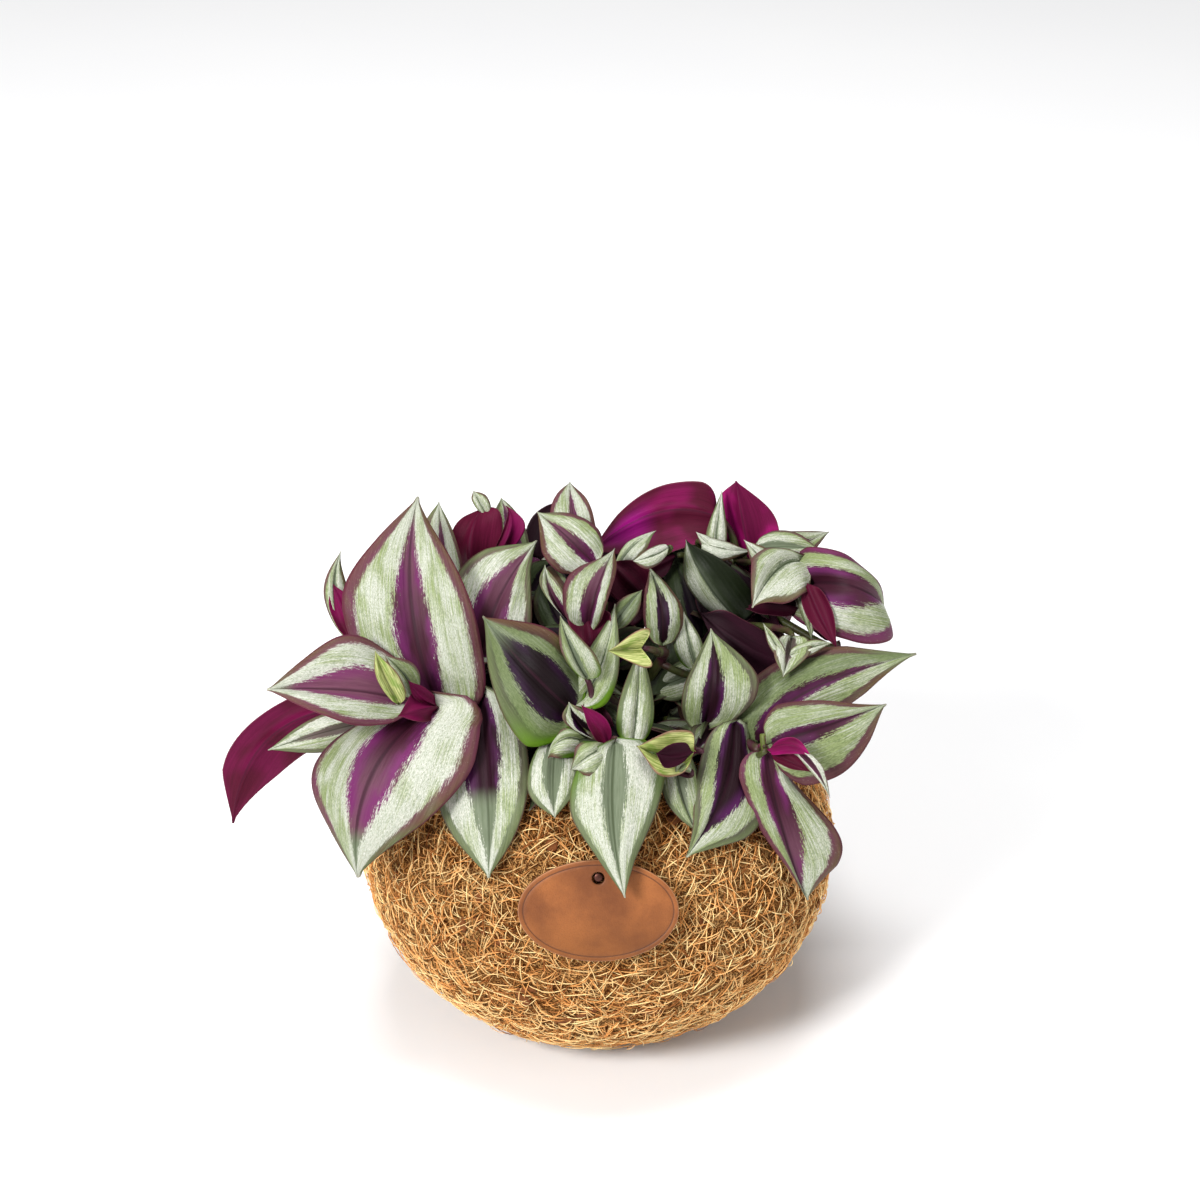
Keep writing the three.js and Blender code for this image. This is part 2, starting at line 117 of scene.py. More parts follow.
# The stems, the side shoots and the sheaths. Nodes are slight swellings.
STEM_RADIUS = 1.7
STEM_TAPER = 0.12
STEM_SIDES = 14
NODE_SPACING = 13
NODE_WIDTH = 0.9
NODE_SWELL = 0.2
SHOOT_RADIUS = 1.3
SHOOT_TAPER = 0.5
SHOOT_SIDES = 10
SHOOT_LEAST_SPAN = 2.5
SHOOT_NODE_SPACING = 9
SHOOT_NODE_WIDTH = 0.8
SHOOT_NODE_SWELL = 0.18
SHEATH_SIDES = 12
SHEATH_PLACES = np.array([-5, -4, -2.6, -1.2, 0.2, 1.4, 2.2])
SHEATH_RADII = np.array([0.85, 1.05, 1.15, 1.2, 1.15, 0.9, 0.3])

# The leaves that fill the room between the stems, and the shield that keeps them out of the photo's view.
SOIL_LEAVES = 52
SOIL_LEAF_REACH = 36
SOIL_LEAF_LEVEL = (98, 104)
SOIL_LEAF_RISE = 20
SOIL_LEAF_LENGTH = (24, 34)
SOIL_LEAF_WIDTH_SHARE = 0.52
INNER_LEAF_FIRST = 12
INNER_LEAF_SPACING = 6.5
INNER_LEAF_LENGTH = (20, 32)
INNER_LEAF_WIDTH_SHARE = 0.54
INNER_LEAF_SPREAD = 70
GOLDEN_TURN = math.pi * (3 - math.sqrt(5))
MOST_COVERED = 0.03
SHIELD_CELL = 6
GAP_LEFT, GAP_RIGHT, GAP_TOP, GAP_BOTTOM = 772, 812, 606, 642
NOTHING_IN_FRONT = -1e3

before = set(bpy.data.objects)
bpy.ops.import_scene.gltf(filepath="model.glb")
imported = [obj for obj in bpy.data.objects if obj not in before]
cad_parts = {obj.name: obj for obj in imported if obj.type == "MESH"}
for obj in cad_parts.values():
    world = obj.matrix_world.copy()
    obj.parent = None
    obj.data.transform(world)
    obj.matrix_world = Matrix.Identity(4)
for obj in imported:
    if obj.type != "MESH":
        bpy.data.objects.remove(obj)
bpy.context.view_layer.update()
rng = np.random.default_rng(11)


# Vectors and the photo's view


def unit(vectors):
    """Vectors of length 1."""
    return vectors / np.maximum(np.linalg.norm(vectors, axis=-1, keepdims=True), TINY)


VIEW_AHEAD = np.array([0, math.cos(AXIS_RISE), -math.sin(AXIS_RISE)])
VIEW_UP = np.array([0, math.sin(AXIS_RISE), math.cos(AXIS_RISE)])
TO_VIEWER = np.array([0, -math.cos(VIEW_RISE), math.sin(VIEW_RISE)])
BALL_CENTRE = np.array([0, 0, BALL_CENTRE_HEIGHT])
EYE = BALL_CENTRE + TO_VIEWER * VIEW_DISTANCE + np.array([VIEW_SIDE, 0, 0])
BALL_REACH = (BALL_CENTRE - EYE) @ VIEW_AHEAD


def place(spot):
    """A photo pixel and a depth towards the viewer, in millimetres, as a point of the part."""
    pixel_x, pixel_y, depth = spot
    ray = VIEW_AHEAD + VIEW_UP * (IMAGE_SIDE / 2 - pixel_y) / FOCAL_PIXELS
    ray = ray + np.array([(pixel_x - IMAGE_SIDE / 2) / FOCAL_PIXELS, 0, 0])
    return EYE + (BALL_REACH - depth) * ray


def full_turn(count):
    """Angles evenly spaced round a whole turn."""
    return np.linspace(0, 2 * math.pi, count, endpoint=False)


def around(radius, angle, height):
    """Points at a radius and an angle about the upright axis, and at a height."""
    return np.stack(np.broadcast_arrays(radius * np.cos(angle), radius * np.sin(angle), height), axis=-1)


def distances(path):
    """How far along a path each of its points lies."""
    return np.concatenate([[0], np.cumsum(np.linalg.norm(np.diff(path, axis=0), axis=1))])


# Meshes


class Batch:
    """Gathers shapes that become one mesh, with the values that their materials read."""

    def __init__(self):
        self.points = []
        self.faces = {}
        self.kinds = {}
        self.values = {}
        self.count = 0

    def add(self, points, faces, kind=0, **values):
        """Adds points, blocks of faces, the faces' material numbers, and values for the points."""
        points = np.asarray(points, dtype=float).reshape(-1, 3)
        self.points.append(points)
        for part in faces:
            self.faces.setdefault(part.shape[1], []).append(part + self.count)
            self.kinds.setdefault(part.shape[1], []).append(np.broadcast_to(kind, (len(part),)))
        for key, value in values.items():
            value = np.asarray(value, dtype=float)
            vector = value.ndim > 0 and value.shape[-1] == 3
            shape = (len(points), 3) if vector else (len(points),)
            self.values.setdefault(key, []).append(np.broadcast_to(value, shape))
        self.count += len(points)

    def make(self, name, materials, slot, replaces=()):
        faces = [face for parts in self.faces.values() for face in np.concatenate(parts).tolist()]
        kinds = np.concatenate([block for parts in self.kinds.values() for block in parts])
        mesh = bpy.data.meshes.new(name)
        mesh.from_pydata(np.concatenate(self.points) * MM, [], faces)
        mesh.polygons.foreach_set("use_smooth", np.ones(len(faces), dtype=bool))
        for material in materials:
            mesh.materials.append(material)
        mesh.polygons.foreach_set("material_index", kinds.astype(np.int32))
        for key, parts in self.values.items():
            block = np.concatenate(parts)
            vector = block.ndim == 2
            layer = mesh.attributes.new(key, "FLOAT_VECTOR" if vector else "FLOAT", "POINT")
            layer.data.foreach_set("vector" if vector else "value", block.astype(np.float32).ravel())
        mesh.update(calc_edges=True)
        mesh.validate()
        piece = bpy.data.objects.new(name, mesh)
        bpy.context.scene.collection.objects.link(piece)
        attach(piece, "root")
        if replaces:
            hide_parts(*replaces)


def grid_faces(rows, columns, closed=False):
    """Quads of a grid whose points run row by row. closed joins the last column to the first."""
    steps = columns if closed else columns - 1
    row, column = np.meshgrid(np.arange(rows - 1), np.arange(steps), indexing="ij")
    here = (row * columns + column).ravel()
    beside = (row * columns + (column + 1) % columns).ravel()
    return np.stack([here, beside, beside + columns, here + columns], axis=1)


def closed_faces(rings, sides):
    """Quads between the rings of a closed shape, and a cap on either end."""
    ring = np.arange(sides)
    return [grid_faces(rings, sides, closed=True), np.array([ring[::-1], (rings - 1) * sides + ring])]


def lathe(profile, segments):
    """Points and faces of a profile of radius and height turned about the upright axis."""
    profile = np.asarray(profile, dtype=float)
    points = around(profile[:, 0, None], full_turn(segments), profile[:, 1, None])
    return points, closed_faces(len(profile), segments)


def smooth_path(points, steps):
    """Points along a Catmull-Rom curve through the given ones."""
    points = np.asarray(points, dtype=float)
    padded = np.concatenate([[2 * points[0] - points[1]], points, [2 * points[-1] - points[-2]]])
    share = np.linspace(0, len(points) - 1, steps)
    index = np.minimum(share.astype(int), len(points) - 2)
    t = (share - index)[:, None]
    a, b, c, d = (padded[index + k] for k in range(4))
    return 0.5 * (2 * b + (c - a) * t + (2 * a - 5 * b + 4 * c - d) * t**2 + (3 * b - a - 3 * c + d) * t**3)


def tube(path, radius, sides):
    """Points and faces of a closed tube along a path."""
    radius = np.broadcast_to(radius, (len(path),))
    ahead = unit(np.gradient(path, axis=0))
    off_any_stem = (0.3, 0.2, 1)
    side = np.cross(ahead[0], off_any_stem)
    sideways = []
    for direction in ahead:
        side = unit(side - direction * (side @ direction))
        sideways.append(side)
    angle = full_turn(sides)[None, :, None]
    side = np.array(sideways)
    ring = side[:, None, :] * np.cos(angle) + np.cross(ahead, side)[:, None, :] * np.sin(angle)
    return path[:, None, :] + ring * radius[:, None, None], closed_faces(len(path), sides)


# Materials


def linear(shown_colour):
    """A display colour, 0 to 255, as linear light. The numbers are those of the sRGB curve."""
    parts = np.array(shown_colour) / 255
    light = np.where(parts <= 0.04045, parts / 12.92, ((parts + 0.055) / 1.055) ** 2.4)
    return (*light.tolist(), 1.0)


class Signal:
    """The output of a shader node. Sums and products of signals become nodes too."""

    def __init__(self, finish, socket):
        self.finish = finish
        self.socket = socket

    def __add__(self, other):
        return self.finish.math("ADD", self, other)

    def __sub__(self, other):
        return self.finish.math("SUBTRACT", self, other)

    def __mul__(self, other):
        return self.finish.math("MULTIPLY", self, other)

    def __abs__(self):
        return self.finish.math("ABSOLUTE", self)

    def scaled(self, factor, offset):
        return self.finish.math("MULTIPLY_ADD", self, factor, offset)

    def step(self, low, high):
        """0 at low, 1 at high, smooth between."""
        made = self.finish.node("MapRange", interpolation_type="SMOOTHSTEP")
        return self.finish.fed(made, range(5), (self, low, high, 0.0, 1.0))


class Finish:
    """A material and short calls for its nodes. A tuple of three numbers is a display colour, 0 to 255."""

    def __init__(self, name):
        self.material = bpy.data.materials.new(name)
        self.material.use_nodes = True
        self.tree = self.material.node_tree
        self.shader = self.tree.nodes["Principled BSDF"]

    def node(self, kind, **settings):
        made = self.tree.nodes.new("ShaderNode" + kind)
        for key, value in settings.items():
            setattr(made, key, value)
        return made

    def feed(self, socket, value):
        if isinstance(value, Signal):
            self.tree.links.new(value.socket, socket)
        elif isinstance(value, tuple) and len(value) == 3 and socket.type == "RGBA":
            socket.default_value = linear(value)
        else:
            socket.default_value = value

    def fed(self, made, keys, values, output=0):
        """Feeds a node's inputs and gives one of its outputs."""
        for key, value in zip(keys, values):
            self.feed(made.inputs[key], value)
        return Signal(self, made.outputs[output])

    def value(self, name):
        return Signal(self, self.node("Attribute", attribute_name=name).outputs["Fac"])

    def vector(self, name):
        return Signal(self, self.node("Attribute", attribute_name=name).outputs["Vector"])

    def position(self):
        return Signal(self, self.node("TexCoord").outputs["Object"])

    def parts(self, vector):
        made = self.node("SeparateXYZ")
        self.feed(made.inputs[0], vector)
        return [Signal(self, socket) for socket in made.outputs]

    def math(self, operation, first, second=0.0, third=0.0, clamp=False):
        made = self.node("Math", operation=operation, use_clamp=clamp)
        return self.fed(made, range(3), (first, second, third))

    def mix(self, share, first, second, blend="MIX"):
        made = self.node("Mix", data_type="RGBA", blend_type=blend)
        return self.fed(made, (0, 6, 7), (share, first, second), output=2)

    def stretched(self, vector, scale, turn=(0, 0, 0)):
        made = self.node("Mapping")
        return self.fed(made, ("Vector", "Rotation", "Scale"), (vector, turn, scale))

    def noise(self, vector, scale, detail, roughness):
        made = self.node("TexNoise")
        return self.fed(made, ("Vector", "Scale", "Detail", "Roughness"), (vector, scale, detail, roughness))

    def veins(self, blade, across, along, detail, roughness):
        """Noise drawn out along a blade: cells per millimetre across it and along it."""
        return self.noise(self.stretched(blade, (across, along, 1)), 1, detail, roughness)

    def cells(self, vector, scale):
        made = self.node("TexVoronoi")
        return self.fed(made, ("Vector", "Scale"), (vector, scale), output="Distance")

    def multiplied(self, base, red, green, blue):
        return self.mix(1.0, base, (red, green, blue, 1), "MULTIPLY")

    def with_painted_shade(self, base):
        """Painted shade: darker where the blade lies deep among the others."""
        return self.mix(self.value("dim"), base, self.multiplied(base, 0.1, 0.11, 0.1))

    def bump(self, height, distance, strength=1.0, under=None):
        """A bump whose full height is a distance in millimetres."""
        made = self.node("Bump")
        bumped = self.fed(made, ("Strength", "Distance", "Height"), (strength, distance * MM, height))
        if under is not None:
            self.feed(made.inputs["Normal"], under)
        return bumped

    def finish(self, base, roughness, normal=None, **constants):
        self.feed(self.shader.inputs["Base Color"], base)
        self.feed(self.shader.inputs["Roughness"], roughness)
        if normal is not None:
            self.feed(self.shader.inputs["Normal"], normal)
        for key, value in constants.items():
            self.shader.inputs[key.replace("_", " ")].default_value = value
        return self.material


def upper_leaf_finish():
    """Two silver bands between a plum middle and a green or mauve margin, all flecked along the veins."""
    f = Finish("leaf_upper")
    blade = f.vector("blade")
    signed = f.value("across")
    across = abs(signed)
    along = f.value("along")
    violet, mauve, silver = f.parts(f.vector("tint"))
    dark, vivid, lean = f.parts(f.vector("tone"))
    from_margin = f.value("from_margin")

    # Grains of four sizes, and where the bands lie.
    streak = f.veins(blade, 2.4, 0.16, 3, 0.65)
    fleck = f.veins(blade, 3.6, 0.9, 2, 0.75)
    grain = f.veins(blade, 6.5, 1.7, 1, 0.6)
    cloud = f.veins(blade, 0.2, 0.08, 2, 0.5)
    wobble = streak.scaled(0.3, -0.15) + fleck.scaled(0.24, -0.12)
    inner = f.value("from_middle") + wobble
    outer = from_margin + wobble * 0.55
    band = inner.step(-0.03, 0.05) * outer.step(-0.02, 0.06)

    # The middle stripe: plum, paler towards the tip with a painted sheen, purple in places, and green where
    # it isn't flushed.
    lower = f.mix(streak, (60, 14, 34), (88, 34, 58))
    # raised is the paler plum towards the tip: a painted sheen.
    raised = f.mix(streak, (112, 60, 88), (146, 98, 116))
    upward = (along - dark).step(0.0, 0.5)
    plum = f.mix(dark, f.mix(upward, lower, raised), (22, 6, 12))
    bright = f.value("from_middle").step(-0.3, -0.04) * cloud.step(0.36, 0.6)
    bright = bright * along.step(0.95, 0.6)
    plum = f.mix(bright * violet, plum, f.mix(dark, (132, 44, 112), (74, 26, 82)))
    leafy = f.mix(streak, (92, 108, 78), (146, 158, 132))
    fade = violet * (along - f.value("flush")).step(0.0, -0.5)
    middle = f.mix(fade.step(0.05, 0.3), leafy, plum)

    # The margin: green or mauve with olive patches, pale flecks and a thin dark edge.
    rim_green = f.mix(streak, (84, 102, 62), (138, 148, 104))
    rim_mauve = f.mix(streak, (92, 50, 54), (130, 86, 86))
    olive = cloud + signed * lean
    rim_mauve = f.mix(olive.step(0.42, 0.66), rim_mauve, f.mix(streak, (90, 66, 44), (124, 98, 70)))
    rim_mauve = f.mix(f.math("SUBTRACT", mauve, 1.0, clamp=True), rim_mauve, (132, 50, 104))
    patch = mauve + cloud.scaled(0.9, -0.45) - along.step(0.45, 0.95) * 0.35
    margin = f.mix(patch.step(0.25, 0.65), rim_green, rim_mauve)
    margin = f.mix(fleck.step(0.62, 0.74) * 0.5, margin, (186, 184, 160))
    margin = f.mix(across.step(0.945, 0.985), margin, f.mix(mauve, (96, 92, 66), (108, 44, 62)))
    ground = f.mix(from_margin.step(-0.25, 0.25), margin, middle)

    # The bands: leaf green under frost, with painted glints for the sparkle of the silver, and dark specks.
    line = f.veins(blade, 3.4, 0.07, 2, 0.5)
    frosted = cloud.step(0.32, 0.62).scaled(0.7, silver.scaled(1.0, -0.55))
    frosted = frosted + signed * lean - from_margin.step(0.3, 0.0) * 0.3
    frosted = frosted + line.step(0.35, 0.65).scaled(0.7, -0.35)
    frosted = f.math("ADD", frosted, along.step(0.72, 1.0) * 0.35, clamp=True)
    leaf_green = f.mix(fleck.step(0.25, 0.75), (124, 144, 88), (172, 188, 132))
    frost = f.mix(fleck.step(0.25, 0.7), (176, 189, 166), (228, 232, 218))
    pale = f.mix(frosted, leaf_green, frost)
    pale = f.mix(silver.step(0.4, 0.05), pale, f.mix(fleck, (58, 74, 42), (104, 122, 78)))
    # Painted glints: near-white sparkles standing in for the light that the silver catches.
    painted_glint = grain.step(0.57, 0.68) * frosted.scaled(0.7, 0.05)
    painted_glint = painted_glint * silver.step(0.1, 0.5)
    pale = f.mix(painted_glint, pale, (255, 255, 246))
    specks = grain.step(0.45, 0.33) * streak.step(0.6, 0.45)
    pale = f.mix(specks * 0.5, pale, (108, 122, 84))

    # Everything together, with a dark midrib, a fresh green foot, a pale tip and painted shade where the
    # blade lies deep among the others.
    base = f.mix(band, ground, pale)
    rib = across.step(0.05, 0.012) * along.step(1.0, 0.75)
    base = f.mix(rib * 0.7, base, f.mix(fade.step(0.05, 0.3), (70, 84, 54), (52, 16, 34)))
    fresh = vivid * (along.step(0.5, 0.05) * across.step(0.6, 0.95))
    base = f.mix(fresh, base, f.mix(cloud, (66, 112, 12), (110, 150, 28)))
    base = f.mix(along.step(0.97, 1.0) * 0.6, base, (224, 222, 196))
    base = f.with_painted_shade(f.multiplied(base, 0.63, 0.61, 0.61))

    ridges = f.math("SINE", f.parts(blade)[0] * 4.6)
    height = ridges.scaled(0.25, streak * 0.9)
    normal = f.bump(fleck, 0.12, 0.5, f.bump(height, 0.16, 0.6))
    roughness = band.scaled(-0.08, fleck.scaled(0.16, 0.46))
    return f.finish(base, roughness, normal, Specular_IOR_Level=0.14)


def under_leaf_finish():
    """A burgundy underside with fine veins. Its colour is a shaded copy and a brighter magenta lit copy mixed
    in patches, as painted light and shade, with more painted shade where the leaf lies deep among the others.
    """
    f = Finish("leaf_under")
    blade = f.vector("blade")
    across = abs(f.value("across"))
    painted_light = f.parts(f.vector("tone"))[1]
    cloud = f.veins(blade, 0.11, 0.05, 2, 0.5)
    streak = f.veins(blade, 2.2, 0.1, 3, 0.6)
    # The shaded copy, darkened further towards near black as painted shade on leaves deep among the others.
    shade = f.parts(f.vector("tone"))[0]
    painted_shaded = f.mix(shade, f.mix(streak, (62, 2, 24), (92, 12, 44)), (34, 12, 24))
    # The lit copy: brighter magenta as painted light, in patches, and more of it where the leaf's vivid is
    # high.
    painted_lit = f.mix(streak, (112, 2, 68), (150, 20, 98))
    share = cloud.step(0.42, 0.64) * painted_light.scaled(0.75, 0.05)
    share = f.math("ADD", share, f.math("MAXIMUM", painted_light - 1.0, 0.0), clamp=True)
    base = f.mix(share, painted_shaded, painted_lit)

    # A magenta spot, where the leaf's flush gives it a place below 1.
    spot = f.value("flush")
    near = abs(f.value("along") - spot).step(0.26, 0.04)
    spot = spot.step(1.0, 0.98) * (near * across.step(0.85, 0.2))
    base = f.mix(spot * 0.7, base, f.mix(streak, (112, 2, 88), (152, 12, 124)))
    base = f.mix(across.step(0.06, 0.01) * 0.5, base, (56, 12, 34))
    base = f.mix(across.step(0.95, 1.0) * 0.5, base, (128, 74, 84))
    normal = f.bump(streak, 0.18, 0.6)
    return f.finish(f.with_painted_shade(base), 0.58, normal, Specular_IOR_Level=0.1)


def young_leaf_finish():
    """A yellow-green bract with a maroon edge, darkened with painted shade where it lies deep among the
    others.
    """
    f = Finish("leaf_young")
    blade = f.vector("blade")
    across = abs(f.value("across"))
    streak = f.veins(blade, 3.0, 0.15, 3, 0.6)
    cloud = f.veins(blade, 0.4, 0.2, 2, 0.5)
    base = f.mix(streak.step(0.35, 0.65), (128, 142, 66), (206, 208, 140))
    base = f.mix(cloud.step(0.5, 0.7) * 0.6, base, (104, 146, 34))
    base = f.mix(across.step(0.84, 0.98) * 0.8, base, (112, 52, 60))
    base = f.mix(across.step(0.08, 0.01) * 0.4, base, (98, 108, 44))
    return f.finish(f.with_painted_shade(base), 0.45, f.bump(streak, 0.15, 0.5), Specular_IOR_Level=0.25)


def stem_finish():
    """Fleshy olive stem flushed purple, with lengthwise streaks."""
    f = Finish("stem_skin")
    position = f.position()
    streak = f.noise(f.stretched(position, (1, 1, 0.12)), 1400, 3, 0.6)
    flush = f.noise(position, 60, 3, 0.6)
    base = f.mix(streak, (46, 52, 26), (76, 80, 40))
    base = f.mix(flush.step(0.42, 0.58), base, (58, 22, 34))
    base = f.mix(f.value("node").step(0.4, 0.9), base, (70, 42, 40))
    return f.finish(base, 0.42, f.bump(streak, 0.2, 0.5), Specular_IOR_Level=0.22)


def sheath_finish():
    """The clasping foot of a leaf: plum to olive green, streaked."""
    f = Finish("sheath_skin")
    streak = f.noise(f.stretched(f.position(), (1, 1, 0.15)), 1700, 3, 0.6)
    hue = f.value("node")
    olive = f.mix(streak, (66, 76, 30), (104, 112, 54))
    plum = f.mix(streak, (68, 14, 42), (104, 34, 68))
    base = f.mix((hue + streak.scaled(0.4, -0.2)).step(0.4, 0.6), olive, plum)
    return f.finish(base, 0.48, f.bump(streak, 0.3, 0.6), Specular_IOR_Level=0.25)


def coir_mat_finish():
    """Matted fibre below the loose strands: crossing pale streaks over dark gaps, the gaps painted shade
    between the strands.
    """
    f = Finish("coir_mat")
    position = f.position()
    height = None
    turns = (
        (0.3, 0.2, 0.1), (1.2, 0.4, 0.9), (0.2, 1.4, 1.9),
        (2.1, 0.7, 2.6), (0.9, 2.3, 0.5), (1.7, 1.1, 1.3),
    )
    for number, turn in enumerate(turns):
        bend = f.node("TexNoise")
        bent = f.fed(bend, ("Vector", "Scale", "Detail"), (position, 150 + 50 * number, 2), output="Color")
        sway = (6 * MM,) * 3
        moved = f.fed(f.node("VectorMath", operation="MULTIPLY_ADD"), range(3), (bent, sway, position))
        strand = f.noise(f.stretched(moved, (1, 0.09, 0.7), turn), 2600, 1, 0.5).step(0.55, 0.68)
        height = f.math("MAXIMUM", height, strand) if height else strand
    tone = f.noise(position, 110, 4, 0.6)
    fibre = f.mix(tone.step(0.3, 0.7), (160, 106, 52), (216, 166, 104))
    # The dark gap colour is painted shade between the strands.
    base = f.mix(height, (72, 33, 9), fibre)
    base = f.mix(f.noise(position, 50, 4, 0.6).step(0.6, 0.72) * 0.55, base, (92, 50, 26))
    return f.finish(base, 0.95, f.bump(height, 0.8), Specular_IOR_Level=0.04)


def fibre_finish():
    """Coconut fibre strands, each from pale straw to dark brown."""
    f = Finish("coir_fibre")
    tone = f.value("shade")
    light = f.mix(tone.step(0.4, 0.85), (230, 162, 92), (255, 224, 160))
    base = f.mix(tone.step(0.1, 0.45), (132, 72, 30), light)
    speck = f.noise(f.position(), 900, 2, 0.5)
    base = f.mix(speck.step(0.52, 0.7) * 0.3, base, (146, 94, 44))
    return f.finish(base, 0.62, Specular_IOR_Level=0.12)


def husk_finish():
    """Brown chips of husk caught in the fibre."""
    f = Finish("husk_chip")
    grain = f.noise(f.stretched(f.position(), (1, 0.3, 1)), 900, 4, 0.6)
    base = f.mix(grain, (74, 40, 22), (136, 84, 48))
    return f.finish(base, 0.85, f.bump(grain, 0.5, 0.8), Specular_IOR_Level=0.08)


def soil_finish():
    """Dark potting mix with a few pale grains."""
    f = Finish("soil_mix")
    position = f.position()
    clods = f.noise(position, 420, 5, 0.65)
    pale = f.cells(position, 700)
    base = f.mix(clods, (24, 16, 12), (66, 46, 34))
    base = f.mix(pale.step(0.16, 0.1), base, (120, 96, 72))
    return f.finish(base, 0.95, f.bump(clods, 1.2, 0.9), Specular_IOR_Level=0.2)


def plastic_finish():
    """Black moulded plastic, scuffed."""
    f = Finish("black_plastic")
    speck = f.noise(f.position(), 1500, 3, 0.6)
    scuff = f.noise(f.stretched(f.position(), (1, 1, 0.2)), 160, 4, 0.6)
    base = f.mix(scuff, (16, 16, 18), (38, 37, 38))
    roughness = f.mix(scuff, (120, 120, 120), (165, 165, 165))
    return f.finish(base, roughness, f.bump(speck, 0.08, 0.4))


def leather_finish():
    """Tan leather with a pressed dark line inside its edge and a slightly worn rim."""
    f = Finish("tag_tan")
    position = f.position()
    inset = f.value("inset")
    cloud = f.noise(position, 55, 4, 0.6)
    pores = f.cells(position, 1900)
    fine = f.noise(position, 2600, 3, 0.6)
    base = f.mix(cloud.step(0.3, 0.72), (108, 58, 24), (146, 86, 41))
    base = f.mix(f.parts(position)[2].step(0.08, 0.063), base, f.multiplied(base, 0.74, 0.73, 0.6))
    base = f.mix(fine.step(0.5, 0.7) * 0.3, base, (92, 50, 22))
    line = inset.step(1.25, 1.5) * inset.step(1.85, 1.6)
    base = f.mix(line * 0.7, base, (66, 36, 20))
    base = f.mix(inset.step(0.35, 0.0), base, (176, 126, 86))
    base = f.mix(f.value("cut").step(0.3, 0.7), base, (90, 54, 32))
    normal = f.bump(cloud, 0.4, 0.3, f.bump(pores, 0.12, 0.35))
    return f.finish(base, 0.54, normal, Specular_IOR_Level=0.32)


def wire_finish():
    """Dull brown metal, scratched along its length."""
    f = Finish("pin_metal")
    scratch = f.noise(f.stretched(f.position(), (1, 1, 0.2)), 3000, 3, 0.6)
    base = f.mix(scratch, (66, 38, 32), (104, 66, 56))
    return f.finish(base, 0.4, f.bump(scratch, 0.05, 0.4), Metallic=0.85)


def floor_finish():
    f = Finish("studio_floor")
    cloud = f.noise(f.position(), 6, 3, 0.5)
    base = f.mix(cloud, (247, 247, 248), (251, 251, 251))
    return f.finish(base, 0.9, Specular_IOR_Level=0.1)


# The coir pot


def ball_radius(height):
    """The radius of the squat ball at a height."""
    return POT_RADIUS * np.sqrt(np.maximum(1 - ((height - BALL_CENTRE_HEIGHT) / POT_HALF_HEIGHT) ** 2, 0))


def pot_outline():
    """Radius and height from the middle of the base, up the wall, over the lip and into the mouth."""
    shoulder = LIP_HEIGHT - LIP_ROUNDING
    base = [(radius, 0.0) for radius in np.linspace(0.5, ball_radius(0) - 0.5, 12)]
    heights = shoulder * (0.5 - 0.5 * np.cos(np.linspace(0, math.pi, 90)))
    wall = list(zip(ball_radius(heights), heights))
    middle = (ball_radius(shoulder) + MOUTH_RADIUS) / 2
    half = (ball_radius(shoulder) - MOUTH_RADIUS) / 2
    turn = np.linspace(0, math.pi, 26)[1:]
    lip = list(zip(middle + half * np.cos(turn), shoulder + LIP_ROUNDING * np.sin(turn)))
    return np.array(base + wall + lip)


OUTLINE = pot_outline()
OUTLINE_PLACE = distances(OUTLINE)
OUTLINE_LENGTH = OUTLINE_PLACE[-1]


def outline_at(place_along):
    """Radius and height of the outline at places along it."""
    return [np.interp(place_along, OUTLINE_PLACE, OUTLINE[:, part]) for part in (0, 1)]


def on_pot(place_along, turn, lift):
    """Points on the coir pot, lifted off it at places along its outline and turns, and the way out of it."""
    radius, height = outline_at(place_along)
    ahead_radius, ahead_height = outline_at(place_along + OUTLINE_STEP)
    behind_radius, behind_height = outline_at(place_along - OUTLINE_STEP)
    out = unit(np.stack([ahead_height - behind_height, behind_radius - ahead_radius], axis=-1))
    out_radius, out_height = out[..., 0], out[..., 1]
    points = around(radius + out_radius * lift, turn, np.maximum(height + out_height * lift, LOWEST_CENTRE))
    return points, around(out_radius, turn, out_height)


def lumps(turn, place_along):
    """Gentle unevenness of the pressed fibre, in millimetres."""
    total = 0
    for height, waves, rise, phase in LUMP_WAVES:
        total = total + height * np.sin(waves * turn + rise * place_along + phase)
    return total


def make_coir_body():
    segments, rows, inner_rows = 240, 150, 14
    row, angle = np.meshgrid(np.linspace(0, OUTLINE_LENGTH, rows), full_turn(segments), indexing="ij")
    rough = rng.normal(0, MAT_ROUGHNESS, row.shape)
    skin, _ = on_pot(row, angle, lumps(angle, row) + rough - MAT_DEPTH)
    inside = []
    for share in np.linspace(0, 1, inner_rows)[1:]:
        radius = MOUTH_RADIUS + MAT_DEPTH + (CAVITY_FLOOR_RADIUS - MOUTH_RADIUS - MAT_DEPTH) * share
        height = LIP_HEIGHT - LIP_ROUNDING + (CAVITY_FLOOR_HEIGHT - LIP_HEIGHT + LIP_ROUNDING) * share
        inside.append((radius, height))
    floor_middle = (0.4, CAVITY_FLOOR_HEIGHT)
    inner, _ = lathe(inside + [floor_middle], segments)
    whole = np.concatenate([skin, inner])
    batch = Batch()
    batch.add(whole, closed_faces(len(whole), segments))
    batch.make("coir_body", [coir_mat_finish()], "coir", ["coir_pot"])


